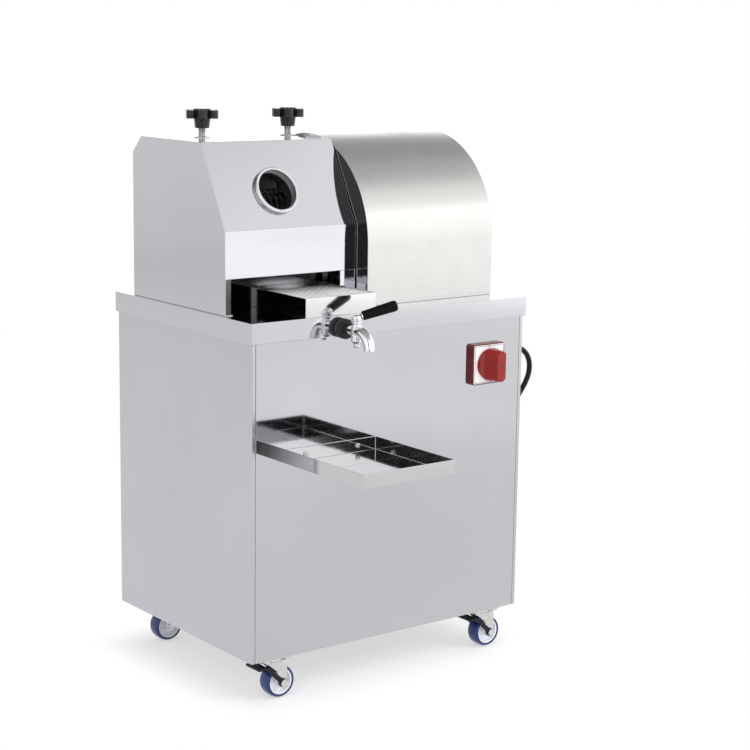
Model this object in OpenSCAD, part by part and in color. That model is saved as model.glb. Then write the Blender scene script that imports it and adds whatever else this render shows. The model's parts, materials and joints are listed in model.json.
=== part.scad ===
// Electric sugarcane juicer on a stainless cabinet with casters.
// Origin: bottom centre of the box of the machine on its wheels, without the cord.
// +X to the right, +Y to the back, +Z up. The tap side faces -Y. Lengths in millimetres.

/* [Cabinet] */
// Width of the top cover
cab_w = 540; // [500:5:620]
// Depth of the top cover
cab_d = 400; // [390:5:460]
// Height from the lower edge of the panels to the worktop
cab_h = 525; // [460:5:600]
// Thickness of the stainless sheet
sheet = 1.5; // [1:0.1:2]
// Height of the skirt round the top cover
skirt_h = 32; // [31:1:40]
// Gap between the skirt and the panels below it
skirt_gap = 2; // [0.5:0.1:3]
// Width of the hem on the side panels that frames the front and rear panels
hem_w = 6; // [5:0.5:12]
// Leg of the steel angle in the frame
frame_leg = 25; // [20:1:32]
// Thickness of the steel angle
frame_t = 3; // [2:0.5:5]
// Thickness of the bottom plate
base_t = 2; // [1.5:0.5:4]

/* [Casters] */
// Height of a caster from the floor to the bottom plate
caster_h = 72; // [70:1:80]
// Wheel diameter
wheel_d = 52; // [44:1:52]
// Wheel width
wheel_w = 25; // [18:1:26]
// Thickness of the blue tread
tread_t = 5; // [3:0.5:7]
// Distance of a swivel axis from the left or right edge
caster_in_x = 58; // [50:1:80]
// Distance of a swivel axis from the front or back edge
caster_in_y = 34; // [34:1:60]
// Distance of the axle behind the swivel axis
caster_trail = 13; // [6:1:15]
// Axle diameter
axle_d = 8; // [6:0.5:10]
// Sheet thickness of the fork
fork_t = 2; // [1.5:0.5:3]
// Side of the square caster plate
caster_plate_w = 54; // [50:1:58]

/* [Head] */
// Left side of the head, from the left edge of the top cover
head_in = 6; // [2:1:12]
// Width of the head
head_w = 243; // [241:1:244]
// Front of the head, behind the front of the top cover
head_front = 81; // [70:1:95]
// Depth of the head
head_d = 269; // [262:1:280]
// Height of the head
head_h = 256; // [252:1:280]
// Height of the knee where the front starts to lean back
knee_h = 126; // [110:1:140]
// Depth that the leaning front takes
lean_d = 68; // [55:1:75]
// Depth of the bevel at the top of the back
bevel_d = 26; // [10:1:32]
// Height of the mouth below the front of the head
mouth_h = 55; // [45:1:65]
// Width of the outlet for pressed cane in the back
outlet_w = 140; // [100:1:150]
// Height of the outlet for pressed cane
outlet_h = 85; // [60:1:95]

/* [Cane inlet] */
// Inner diameter of the collar
inlet_d = 66; // [60:1:76]
// Wall of the collar
collar_wall = 3; // [2:0.5:4]
// Length of the collar outside the head
collar_out = 7; // [6:1:25]
// Length of the collar inside the head
collar_in = 24; // [10:1:26]
// Centre of the collar, from the left edge of the top cover
inlet_x = 116; // [105:1:130]
// Centre of the collar, up the leaning front from the knee
inlet_up = 62; // [55:1:80]

/* [Rollers] */
// Roller diameter
roller_d = 72; // [68:1:74]
// Gap between the upper roller and each lower roller
roller_gap = 3; // [2:0.5:5]
// Distance between the axes of the two lower rollers
lower_spread = 90; // [88:1:94]
// Height of the lower axes above the worktop
lower_axis_h = 76; // [72:1:80]
// Upper axis, in front of the head's back
press_y = 100; // [96:1:104]
// Shaft diameter in the bearings
shaft_d = 28; // [24:1:30]
// Diameter of the gear seats
seat_d = 24; // [20:1:26]
// Thickness of the bearing plates
plate_t = 10; // [8:1:10]
// Middle of the left bearing plate, from the left edge of the top cover
plate_left = 73; // [70:1:78]
// Middle of the right bearing plate, from the left edge of the top cover
plate_right = 236; // [235:1:241]
// Room between the bearing plates and the top of the head
roof_room = 30; // [16:1:34]
// Depth of the bearing plates
plate_d = 150; // [146:1:156]
// Depth of the grooves round the rollers
groove_d = 1.2; // [0.6:0.1:2]
// Number of grooves round each roller
groove_n = 14; // [8:1:20]

/* [Gears] */
// Number of teeth
teeth = 15; // [14:1:16]
// Width of the gears
gear_w = 22; // [16:1:26]
// Play between meshing teeth at rest, which lets the upper roller lift
gear_play = 2.4; // [2:0.1:3]

/* [Pressure screws] */
// Screw diameter
screw_d = 12; // [10:1:14]
// Length of bare screw above the head
screw_show = 15; // [10:1:25]
// Diameter of the star knob over its lobes
knob_d = 55; // [44:1:58]
// Height of the lobes
lobe_h = 13; // [10:1:18]
// Height of the hub below the lobes
hub_h = 15; // [10:1:20]
// Diameter of the washer on the head
washer_d = 25; // [20:1:26]

/* [Drive cover] */
// Left end of the cover, from the left edge of the top cover
cover_left = 250.5; // [250.5:0.5:252]
// Width of the cover
cover_w = 255; // [245:1:265]
// Front of the cover, behind the front of the top cover
cover_front = 50; // [40:1:52]
// Radius of the arch
cover_r = 166; // [160:1:168]
// Top of the arch, above the top of the head
cover_over = 5; // [0:1:10]

/* [Drive] */
// Motor diameter over its fins
motor_d = 138; // [120:1:140]
// Motor length
motor_len = 136; // [110:1:145]
// Height of the motor axis above the output axis
motor_rise = 24; // [18:1:30]
// Width of the gearbox
gearbox_w = 66; // [56:1:70]

/* [Juice tray] */
// Left side of the tray, from the left edge of the top cover
juice_in = 97; // [94:1:99]
// Width of the tray
juice_w = 132; // [120:1:132]
// Height of the tray
juice_h = 30; // [24:1:34]
// Gap between the back of the tray and the back of the head
juice_back = 28; // [20:1:60]
// Diameter of the outlet pipe under the tray
spigot_d = 22; // [18:1:24]

/* [Tap] */
// Tap axis, from the left edge of the top cover
tap_x = 164; // [150:1:175]
// Depth of the tap axis below the worktop
tap_drop = 20; // [18:1:21]
// Diameter of the threaded tail
tail_d = 16; // [12:1:18]
// Distance of the valve in front of the skirt
valve_out = 38; // [34:1:50]
// Diameter of the valve barrel
barrel_d = 18; // [17:1:22]
// Bend radius of the spout
spout_bend = 24; // [20:1:30]
// Outer diameter of the spout
spout_d = 17; // [14:1:20]
// Length of the lever grip
grip_len = 55; // [40:1:70]
// Diameter of the lever grip
grip_d = 17; // [13:1:18]

/* [Drip tray] */
// Left side of the tray, from the left edge of the top cover
drip_in = 64; // [50:1:80]
// Width of the tray
drip_w = 171; // [150:1:190]
// Reach of the tray in front of the skirt
drip_reach = 190; // [150:1:210]
// Height of the tray wall
drip_h = 22; // [15:1:30]
// Rim of the tray, below the worktop
drip_drop = 197; // [170:1:230]

/* [Switch] */
// Switch axis, from the right edge of the top cover
switch_x = 91; // [70:1:110]
// Switch axis, below the worktop
switch_drop = 101; // [90:1:120]
// Side of the square switch body
switch_w = 66; // [60:1:70]
// Depth of the switch body in front of the panel
switch_d = 18; // [12:1:24]
// Diameter of the switch handle
handle_d = 50; // [40:1:54]

/* [Power cord] */
// Cord diameter
cord_d = 9; // [8:0.5:9]
// Number of turns in each layer of the coil
coil_turns = 1.5; // [1.5:1:2.5]
// Radius of the outer turn of the coil
coil_r = 58; // [56:1:64]

/* [Hidden] */
$fn = 48;

// Cuts run this far past the face that they open
over = 1;
// Radial clearance of a shaft that turns in a bore
run_gap = 0.05;
// Radial clearance of a piece that sits fixed in a hole
fit_gap = 0.05;
// Clearance between faces that move past each other
move_gap = 0.3;
// Clearance round a piece that passes through a sheet
pass_gap = 1;
// Seam between neighbouring panels
seam = 0.6;

// Places of the whole machine
front_y = drip_reach - (cab_d + drip_reach) / 2;
back_y = front_y + cab_d;
top_z = caster_h + cab_h;
lip = sheet + skirt_gap;
body_w = cab_w - 2 * lip;
body_d = cab_d - 2 * lip;
under_z = top_z - sheet;
inner_w = body_w - 2 * sheet;
inner_d = body_d - 2 * sheet;
post_z = caster_h + base_t;
post_h = under_z - post_z;

function from_left(v) = v - cab_w / 2;
function from_right(v) = cab_w / 2 - v;
function behind(v) = front_y + v;
function above(v) = top_z + v;

// Right-hand normal of the line from a to b
function side_of(a, b) = let (d = (b - a) / norm(b - a)) [d[1], -d[0]];
// Corner of a path moved inward by t on both of its lines
function mitre(p, i, t) =
    let (last = len(p) - 1,
         before = side_of(p[max(i - 1, 0)], p[max(i, 1)]),
         after = side_of(p[min(i, last - 1)], p[min(i + 1, last)]))
    p[i] + (before + after) * t / (1 + before * after);
// Outline of a sheet of thickness t bent along a path
function bent(p, t) = concat(p, [for (i = [len(p) - 1 : -1 : 0]) mitre(p, i, t)]);

// Extrudes an outline in Y and Z along X, from x0
module along_x(x0, length) {
    translate([x0, 0, 0]) rotate([90, 0, 90]) linear_extrude(length) children();
}
// Extrudes an outline in X and Z along Y, from y0
module along_y(y0, length) {
    translate([0, y0 + length, 0]) rotate([90, 0, 0]) linear_extrude(length) children();
}
// Rod along X from x0
module rod_x(x0, y, z, length, r) {
    translate([x0, y, z]) rotate([0, 90, 0]) cylinder(h = length, r = r);
}
// Rod along Y from y0
module rod_y(x, y0, z, length, r) {
    translate([x, y0, z]) rotate([-90, 0, 0]) cylinder(h = length, r = r);
}
// Rod along Z from z0
module rod_z(x, y, z0, length, r) {
    translate([x, y, z0]) cylinder(h = length, r = r);
}
// Box from one corner
module box(at, size) {
    translate(at) cube(size);
}
// Hexagon head or nut along Z, by its width across flats
module hexagon(at, across, height) {
    translate(at) cylinder(h = height, d = across / cos(30), $fn = 6);
}

// Places of the pieces that several modules share
left_x = from_left(lip);
right_x = left_x + body_w;
panel_y = behind(lip);
rear_y = panel_y + body_d;
lower_z = above(lower_axis_h);
axis_dist = roller_d + roller_gap;
upper_rise = sqrt(axis_dist * axis_dist - lower_spread * lower_spread / 4);
upper_z = lower_z + upper_rise;
head_y = behind(head_front);
head_back_y = head_y + head_d;
upper_y = head_back_y - press_y;
plate_h = head_h - roof_room;
front_roller_y = upper_y - lower_spread / 2;
rear_roller_y = upper_y + lower_spread / 2;
plate_left_x = from_left(plate_left);
plate_right_x = from_left(plate_right);
head_x = from_left(head_in);
tap_z = above(-tap_drop);
tap_axis_x = from_left(tap_x);
switch_axis_x = from_right(switch_x);
switch_z = above(-switch_drop);

// Bolts of the casters and of the bearing plates
bolt_d = 6;
bolt_across = 10;
bolt_head_h = 4;
caster_bolt_share = 0.72;
caster_bolt_half = caster_plate_w * caster_bolt_share / 2;
caster_places = [
    [from_left(caster_in_x), behind(caster_in_y)],
    [-from_left(caster_in_x), behind(caster_in_y)],
    [from_left(caster_in_x), back_y - caster_in_y],
    [-from_left(caster_in_x), back_y - caster_in_y]];
corner_signs = [[-1, -1], [1, -1], [-1, 1], [1, 1]];
stand_bolt_depth = 16;
stand_bolt_share = 0.4;
stand_bolts = [for (x = [plate_left_x, plate_right_x], s = [-1, 1])
    [x, upper_y + s * plate_d * stand_bolt_share]];

module caster_bolt_places() {
    for (c = caster_places, s = corner_signs)
        translate([c[0] + s[0] * caster_bolt_half, c[1] + s[1] * caster_bolt_half, 0]) children();
}

// Cabinet

module angle_post(h) {
    linear_extrude(h) difference() {
        square(frame_leg);
        translate([frame_t, frame_t]) square(frame_leg);
    }
}

module side_rail(length) {
    difference() {
        cube([frame_leg, length, frame_leg]);
        translate([frame_t, -over, frame_t]) cube([frame_leg, length + 2 * over, frame_leg]);
    }
}

module base_frame() {
    x0 = left_x + sheet;
    y0 = panel_y + sheet;
    rail_w = inner_w;
    rail_d = inner_d;
    // The front rail stays below the switch
    front_rail_drop = switch_drop + switch_block[2];
    color("slategray") difference() {
        union() {
            for (mx = [0, 1], my = [0, 1])
                mirror([mx, 0, 0])
                    translate([0, y0 + rail_d / 2, 0]) mirror([0, my, 0])
                        translate([x0, -rail_d / 2, post_z]) angle_post(post_h);
            for (mx = [0, 1], top = [0, 1])
                mirror([mx, 0, 0])
                    translate([x0, y0, top ? under_z : post_z]) mirror([0, 0, top]) side_rail(rail_d);
            for (z = [post_z, under_z - frame_leg])
                box([x0, y0 + rail_d - frame_t, z], [rail_w, frame_t, frame_leg]);
            box([x0, y0, post_z], [rail_w, frame_t, frame_leg]);
            box([x0, y0, under_z - front_rail_drop - frame_leg], [rail_w, frame_t, frame_leg]);
        }
        for (p = rear_screws)
            rod_y(p[0], y0 + rail_d - frame_t - over, p[1], frame_t + 2 * over, pan_d / 2 + fit_gap);
    }
}

module base_plate() {
    color("silver") difference() {
        box([left_x + sheet, panel_y + sheet, caster_h], [inner_w, inner_d, base_t]);
        caster_bolt_places() translate([0, 0, caster_h - over])
            cylinder(h = base_t + 2 * over, d = bolt_d + 2 * fit_gap);
    }
}

panel_h = under_z - caster_h;
switch_neck_d = 40;
// Screws of the drip tray and the rear panel
pan_d = 4;
pan_head_d = 8;
pan_head_h = 2.4;
pan_len = 8;
drip_x = from_left(drip_in);
drip_screw_share = 0.21;
drip_rim_z = above(-drip_drop);
drip_screw_z = drip_rim_z - drip_h / 2;
drip_screws = [for (s = [drip_screw_share, 1 - drip_screw_share]) drip_x + drip_w * s];
rear_rows_shares = [0.12, 0.5, 0.88];
rear_panel_w = body_w - 2 * (hem_w + seam);
rear_screws = [for (s = [-1, 1], r = rear_rows_shares)
    [s * (inner_w - frame_leg) / 2, caster_h + panel_h * r]];

module front_panel() {
    color("gainsboro") difference() {
        box([left_x + hem_w + seam, panel_y, caster_h], [rear_panel_w, sheet, panel_h]);
        rod_y(tap_axis_x, panel_y - over, tap_z, sheet + 2 * over, tail_d / 2 + pass_gap);
        rod_y(switch_axis_x, panel_y - over, switch_z, sheet + 2 * over, switch_neck_d / 2 + pass_gap);
        for (x = drip_screws)
            rod_y(x, panel_y - over, drip_screw_z, sheet + 2 * over, pan_d / 2 + fit_gap);
    }
}

// Side panel with a hem that turns in at the front and the back
module side_sheet() {
    box([left_x, panel_y, caster_h], [sheet, body_d, panel_h]);
    for (y = [panel_y, rear_y - sheet])
        box([left_x, y, caster_h], [hem_w, sheet, panel_h]);
}

module left_panel() {
    color("lightgray") side_sheet();
}

// Cord entry on the right side, level with the switch
entry_in = 60;
entry_drop = 97;
entry_y = behind(entry_in);
entry_z = above(-entry_drop);
gland_thread_d = 18;

module right_panel() {
    color("lightgray") difference() {
        mirror([1, 0, 0]) side_sheet();
        rod_x(right_x - sheet - over, entry_y, entry_z, sheet + 2 * over, gland_thread_d / 2 + fit_gap);
    }
}

module rear_panel() {
    color("lightgray") difference() {
        box([left_x + hem_w + seam, rear_y - sheet, caster_h], [rear_panel_w, sheet, panel_h]);
        for (p = rear_screws)
            rod_y(p[0], rear_y - sheet - over, p[1], sheet + 2 * over, pan_d / 2 + fit_gap);
    }
}

spigot_y = behind(head_front / 2);
stem_hole_d = screw_d + 2 * pass_gap;

module worktop() {
    color("whitesmoke") difference() {
        box([-cab_w / 2, front_y, top_z - skirt_h], [cab_w, cab_d, skirt_h]);
        box([-cab_w / 2 + sheet, front_y + sheet, top_z - skirt_h - over],
            [cab_w - 2 * sheet, cab_d - 2 * sheet, skirt_h - sheet + over]);
        rod_y(tap_axis_x, front_y - over, tap_z, sheet + 2 * over, tail_d / 2 + fit_gap);
        rod_z(tap_axis_x, spigot_y, under_z - over, sheet + 2 * over, spigot_d / 2 + pass_gap);
        for (p = stand_bolts)
            rod_z(p[0], p[1], under_z - over, sheet + 2 * over, bolt_d / 2 + fit_gap);
    }
}

module pan_screw() {
    cylinder(h = pan_head_h, d = pan_head_d);
    translate([0, 0, -pan_len]) cylinder(h = pan_len + over, d = pan_d);
}

module panel_screws() {
    color("silver") {
        for (x = drip_screws)
            translate([x, panel_y - sheet, drip_screw_z]) rotate([90, 0, 0]) pan_screw();
        for (p = rear_screws)
            translate([p[0], rear_y, p[1]]) rotate([-90, 0, 0]) pan_screw();
    }
}

module frame_bolts() {
    color("silver") {
        caster_bolt_places() {
            translate([0, 0, caster_h - caster_plate_t])
                cylinder(h = caster_plate_t + base_t + over, d = bolt_d);
            hexagon([0, 0, caster_h - caster_plate_t - bolt_head_h], bolt_across, bolt_head_h);
            hexagon([0, 0, caster_h + base_t], bolt_across, bolt_head_h);
        }
        for (p = stand_bolts) {
            hexagon([p[0], p[1], under_z - bolt_head_h], bolt_across, bolt_head_h);
            rod_z(p[0], p[1], under_z - over, sheet + stand_bolt_depth, bolt_d / 2);
        }
    }
}

// Casters

caster_plate_t = 2.5;
race_d = 38;
race_h = 7;
crown_t = 3;
king_d = 10;
king_head_d = 18;
king_head_h = 3;
wheel_r = wheel_d / 2;
wheel_side_gap = 1.2;
fork_half = wheel_w / 2 + wheel_side_gap;
crown_top = caster_h - caster_plate_t - race_h - move_gap;
crown_low = crown_top - crown_t;
arm_t = 2.5;
cap_d = 11;
cap_h = 3;

module caster_plates() {
    color("silver") for (c = caster_places) translate([c[0], c[1], 0]) difference() {
        union() {
            box([-caster_plate_w / 2, -caster_plate_w / 2, caster_h - caster_plate_t],
                [caster_plate_w, caster_plate_w, caster_plate_t]);
            translate([0, 0, caster_h - caster_plate_t - race_h]) cylinder(h = race_h + over / 2, d = race_d);
            translate([0, 0, crown_low - move_gap]) cylinder(h = crown_t + race_h, d = king_d);
            translate([0, 0, crown_low - move_gap - king_head_h])
                cylinder(h = king_head_h, d = king_head_d);
        }
        for (s = corner_signs)
            translate([s[0] * caster_bolt_half, s[1] * caster_bolt_half, caster_h - caster_plate_t - over])
                cylinder(h = caster_plate_t + 2 * over, d = bolt_d + 2 * fit_gap);
    }
}

// Fork with its riveted axle; reach is how far the axle runs past each leg
module caster_fork(reach) {
    leg_top_half = race_d * 0.45;
    boss_r = axle_d * 1.1;
    axle_x = caster_trail;
    waist_z = (crown_top + wheel_r) / 2;
    color("silver") {
        difference() {
            union() {
                translate([0, 0, crown_low]) cylinder(h = crown_t, d = race_d);
                box([-leg_top_half, -fork_half - fork_t, crown_low],
                    [leg_top_half + axle_x + boss_r, 2 * (fork_half + fork_t), crown_t]);
            }
            translate([0, 0, crown_low - over])
                cylinder(h = crown_t + 2 * over, d = king_d + 2 * run_gap);
        }
        for (y = [-fork_half - fork_t, fork_half]) along_y(y, fork_t) {
            polygon([[-leg_top_half, crown_top], [axle_x + boss_r, crown_top],
                [axle_x + boss_r, wheel_r], [axle_x - boss_r, wheel_r], [axle_x - boss_r, waist_z]]);
            translate([axle_x, wheel_r]) circle(boss_r);
        }
        rod_y(axle_x, -fork_half - fork_t - reach, wheel_r, 2 * (fork_half + fork_t + reach), axle_d / 2);
        for (y = [-fork_half - fork_t - reach - cap_h, fork_half + fork_t + reach])
            rod_y(axle_x, y, wheel_r, cap_h, cap_d / 2);
    }
}

// Wheel core with a hub and a dished web
module caster_core() {
    rim_r = wheel_r - tread_t;
    hub_r = axle_d * 0.95;
    web_half = wheel_w * 0.14;
    rim_t = tread_t * 0.6;
    hub_half = wheel_w / 2;
    rim_half = wheel_w * 0.43;
    color("white") translate([caster_trail, 0, wheel_r]) rotate([90, 0, 0]) rotate_extrude()
        polygon([[axle_d / 2 + run_gap, -hub_half], [hub_r, -hub_half], [hub_r, -web_half],
            [rim_r - rim_t, -web_half], [rim_r - rim_t, -rim_half], [rim_r, -rim_half],
            [rim_r, rim_half], [rim_r - rim_t, rim_half], [rim_r - rim_t, web_half],
            [hub_r, web_half], [hub_r, hub_half], [axle_d / 2 + run_gap, hub_half]]);
}

// Half width and depth below the crown along the tread's outline, as shares
tread_shares = [[-1, 0.62], [-0.9, 0.34], [-0.72, 0.14], [-0.4, 0.03], [0, 0],
    [0.4, 0.03], [0.72, 0.14], [0.9, 0.34], [1, 0.62]];

// Tread with rounded shoulders
module caster_tyre() {
    low_r = wheel_r - tread_t + fit_gap;
    color("royalblue") translate([caster_trail, 0, wheel_r]) rotate([90, 0, 0]) rotate_extrude()
        polygon(concat([[low_r, -wheel_w / 2]],
            [for (s = tread_shares) [wheel_r - s[1] * tread_t, s[0] * wheel_w / 2]],
            [[low_r, wheel_w / 2]]));
}

// Side lock: two cam arms on the axle and a foot tab above the tread
module caster_brake() {
    boss_r = axle_d * 0.85;
    arm_half = boss_r * 0.45;
    tab_far = wheel_d * 0.88;
    tab_near = wheel_d * 0.56;
    tab_rise = wheel_r * 1.15;
    tab_t = arm_t * 1.4;
    arm_y = fork_half + fork_t + move_gap;
    color("black") translate([caster_trail, 0, wheel_r]) {
        difference() {
            for (y = [-arm_y - arm_t, arm_y]) along_y(y, arm_t) {
                circle(boss_r);
                polygon([[-arm_half, -arm_half], [arm_half, arm_half], [-tab_near + arm_half, tab_rise],
                    [-tab_far, tab_rise], [-tab_far, tab_rise - tab_t],
                    [-tab_near - arm_half, tab_rise - tab_t]]);
            }
            rod_y(0, -arm_y - arm_t - over, 0, 2 * (arm_y + arm_t + over), axle_d / 2 + run_gap);
        }
        box([-tab_far, -arm_y - arm_t, tab_rise - tab_t],
            [tab_far - tab_near, 2 * (arm_y + arm_t), tab_t]);
    }
}

// The front axles are longer, to carry the brake arms
brake_reach = arm_t + 2 * move_gap;
module at_caster(i) {
    translate([caster_places[i][0], caster_places[i][1], 0]) children();
}
module caster_fl_fork() { at_caster(0) caster_fork(brake_reach); }
module caster_fl_core() { at_caster(0) caster_core(); }
module caster_fl_tyre() { at_caster(0) caster_tyre(); }
module caster_fr_fork() { at_caster(1) caster_fork(brake_reach); }
module caster_fr_core() { at_caster(1) caster_core(); }
module caster_fr_tyre() { at_caster(1) caster_tyre(); }
module caster_bl_fork() { at_caster(2) caster_fork(0); }
module caster_bl_core() { at_caster(2) caster_core(); }
module caster_bl_tyre() { at_caster(2) caster_tyre(); }
module caster_br_fork() { at_caster(3) caster_fork(0); }
module caster_br_core() { at_caster(3) caster_core(); }
module caster_br_tyre() { at_caster(3) caster_tyre(); }
module brake_fl() { at_caster(0) caster_brake(); }
module brake_fr() { at_caster(1) caster_brake(); }

// Head

lean = [lean_d, head_h - knee_h];
lean_angle = atan2(lean[1], lean[0]);
inlet_at = [from_left(inlet_x), head_y + inlet_up * cos(lean_angle),
    above(knee_h) + inlet_up * sin(lean_angle)];
// Front, leaning face, top, bevel and back, from the mouth round to the worktop
head_path = [[head_y, above(mouth_h)], [head_y, above(knee_h)], [head_y + lean_d, above(head_h)],
    [head_back_y - bevel_d, above(head_h)], [head_back_y, above(head_h - bevel_d)],
    [head_back_y, above(0)]];
outlet_x = (plate_left_x + plate_right_x) / 2 - outlet_w / 2;
outlet_low = above(lower_axis_h - outlet_h * 0.2);
chute_reach = 38;
chute_fall = 26;
foot_w = 14;

// Collar axis, with +Z pointing out of the leaning face
module at_inlet() {
    translate(inlet_at) rotate([lean_angle, 0, 0]) children();
}

module head_cover() {
    color("gainsboro") difference() {
        union() {
            for (x = [head_x, head_x + head_w - sheet])
                along_x(x, sheet) polygon(concat([[head_y, above(0)]], head_path));
            along_x(head_x, head_w) polygon(bent(head_path, sheet));
            // Foot flanges on the worktop
            box([head_x, head_y, above(0)], [foot_w, head_d, sheet]);
            // Lip that throws the pressed cane out behind the head
            along_x(outlet_x, outlet_w) polygon(bent([[head_back_y - sheet, outlet_low],
                [head_back_y + chute_reach, outlet_low - chute_fall]], sheet));
            for (x = [outlet_x, outlet_x + outlet_w - sheet])
                along_x(x, sheet) polygon([[head_back_y - sheet, outlet_low - sheet],
                    [head_back_y - sheet, outlet_low + chute_fall],
                    [head_back_y + chute_reach, outlet_low - chute_fall]]);
        }
        at_inlet() translate([0, 0, -2 * sheet - over])
            cylinder(h = 2 * (2 * sheet + over), d = inlet_d + 2 * collar_wall + 2 * fit_gap);
        for (x = [plate_left_x, plate_right_x])
            rod_z(x, upper_y, above(head_h) - sheet - over, sheet + 2 * over, stem_hole_d / 2);
        box([outlet_x + sheet, head_back_y - sheet - over, outlet_low],
            [outlet_w - 2 * sheet, sheet + 2 * over, outlet_h]);
        rod_x(head_x + head_w - sheet - over, front_roller_y, lower_z, sheet + 2 * over,
            shaft_d / 2 + pass_gap);
    }
}

// Polished collar with a rolled rim
module feed_collar() {
    outer_r = inlet_d / 2 + collar_wall;
    color("silver") at_inlet() difference() {
        union() {
            translate([0, 0, -collar_in]) cylinder(h = collar_in + collar_out, r = outer_r);
            translate([0, 0, collar_out - collar_wall / 2]) rotate_extrude()
                translate([outer_r, 0]) circle(collar_wall / 2, $fn = 24);
        }
        translate([0, 0, -collar_in - over])
            cylinder(h = collar_in + collar_out + 2 * over, d = inlet_d);
    }
}

// Roller stand

bush_wall = 5;
bush_d = shaft_d + 2 * bush_wall;
block_w = 48;
block_h = 44;
window_w = block_w + 2 * move_gap;
window_low = upper_z - block_h / 2;
// The plate ends in a bar above the window, tapped for the pressure screw
bar_h = 24;
window_top = above(plate_h - bar_h);
rod_d = 14;
rod_out_share = 0.28;
rod_up_share = 0.88;
tie_rods = [for (s = [-1, 1]) [upper_y + s * plate_d * rod_out_share, above(plate_h * rod_up_share)]];

module stand_plate(x) {
    color("lightsteelblue") difference() {
        box([x - plate_t / 2, upper_y - plate_d / 2, above(0)], [plate_t, plate_d, plate_h]);
        box([x - plate_t / 2 - over, upper_y - window_w / 2, window_low],
            [plate_t + 2 * over, window_w, window_top - window_low]);
        for (y = [front_roller_y, rear_roller_y])
            rod_x(x - plate_t / 2 - over, y, lower_z, plate_t + 2 * over, bush_d / 2 + fit_gap);
        rod_z(x, upper_y, window_top - over, bar_h + 2 * over, screw_d / 2 + run_gap);
        for (p = tie_rods)
            rod_x(x - plate_t / 2 - over, p[0], p[1], plate_t + 2 * over, rod_d / 2 + fit_gap);
        for (s = [-1, 1])
            rod_z(x, upper_y + s * plate_d * stand_bolt_share, above(0) - over,
                stand_bolt_depth + over, bolt_d / 2 + fit_gap);
    }
}

module stand_left_plate() { stand_plate(plate_left_x); }
module stand_right_plate() { stand_plate(plate_right_x); }

module stand_tie_rods() {
    color("silver") for (p = tie_rods) {
        rod_x(plate_left_x - plate_t / 2, p[0], p[1], plate_right_x - plate_left_x + plate_t, rod_d / 2);
        rod_x(plate_left_x + plate_t / 2, p[0], p[1], plate_right_x - plate_left_x - plate_t, rod_d * 0.7);
    }
}

module lower_bushes() {
    color("goldenrod") for (x = [plate_left_x, plate_right_x], y = [front_roller_y, rear_roller_y])
        difference() {
            rod_x(x - plate_t / 2, y, lower_z, plate_t, bush_d / 2);
            rod_x(x - plate_t / 2 - over, y, lower_z, plate_t + 2 * over, shaft_d / 2 + run_gap);
        }
}

module upper_blocks() {
    color("goldenrod") for (x = [plate_left_x, plate_right_x]) difference() {
        box([x - plate_t / 2, upper_y - block_w / 2, window_low], [plate_t, block_w, block_h]);
        rod_x(x - plate_t / 2 - over, upper_y, upper_z, plate_t + 2 * over, shaft_d / 2 + run_gap);
    }
}

// Rollers turn about X: grooved body, journals, and a gear seat on the left
roller_gap_x = 1.5;
roller_x0 = plate_left_x + plate_t / 2 + roller_gap_x;
roller_x1 = plate_right_x - plate_t / 2 - roller_gap_x;
gear_gap_x = 7;
gear_x0 = plate_left_x - plate_t / 2 - gear_gap_x - gear_w;
seat_over = 4;

// Edge, bottom and edge of a groove, along its step
groove_shares = [0.2, 0.5, 0.8];
function groove_points(x0, x1) = let (step = (x1 - x0) / groove_n)
    [for (i = [0 : groove_n - 1], k = [0 : 2])
        [roller_d / 2 - (k == 1 ? groove_d : 0), x0 + step * (i + groove_shares[k])]];

module roller(y, z, right_end) {
    color("silver") translate([0, y, z]) rotate([90, 0, 90]) rotate_extrude()
        polygon(concat(
            [[0, gear_x0 - seat_over], [seat_d / 2, gear_x0 - seat_over], [seat_d / 2, gear_x0 + gear_w],
             [shaft_d / 2, gear_x0 + gear_w], [shaft_d / 2, roller_x0], [roller_d / 2, roller_x0]],
            groove_points(roller_x0, roller_x1),
            [[roller_d / 2, roller_x1], [shaft_d / 2, roller_x1], [shaft_d / 2, right_end], [0, right_end]]));
}

// Gears of one size: involute flanks, thinned for the play in the mesh

gear_m = axis_dist / teeth;
pitch_r = axis_dist / 2;
base_r = pitch_r * cos(20);
tip_r = pitch_r + gear_m;
root_r = pitch_r - 1.25 * gear_m;
tooth_angle = 360 / teeth;
flank_steps = 4;
// Angle between the start of the involute and its point at radius r
function roll_angle(r) = let (q = sqrt(max(r * r / (base_r * base_r) - 1, 0))) q * 180 / PI - atan(q);
pitch_half_angle = tooth_angle / 4 - gear_play / 4 / pitch_r * 180 / PI;
function flank_angle(r) = pitch_half_angle + roll_angle(pitch_r) - roll_angle(r);
flank_radii = [for (i = [0 : flank_steps]) base_r + (tip_r - base_r) * i / flank_steps];
function on_circle(r, a) = [r * cos(a), r * sin(a)];
function tooth_points(a) = concat([on_circle(root_r, a - flank_angle(base_r))],
    [for (r = flank_radii) on_circle(r, a - flank_angle(r))],
    [for (i = [flank_steps : -1 : 0]) on_circle(flank_radii[i], a + flank_angle(flank_radii[i]))],
    [on_circle(root_r, a + flank_angle(base_r))]);
// Directions from the upper axis to the lower axes, in the plane of Y and Z
mesh_front = atan2(-upper_rise, -lower_spread / 2);
mesh_rear = atan2(-upper_rise, lower_spread / 2);
upper_phase = 90;
function mate_phase(mesh) = 2 * mesh - upper_phase + 180 + tooth_angle / 2;

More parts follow.
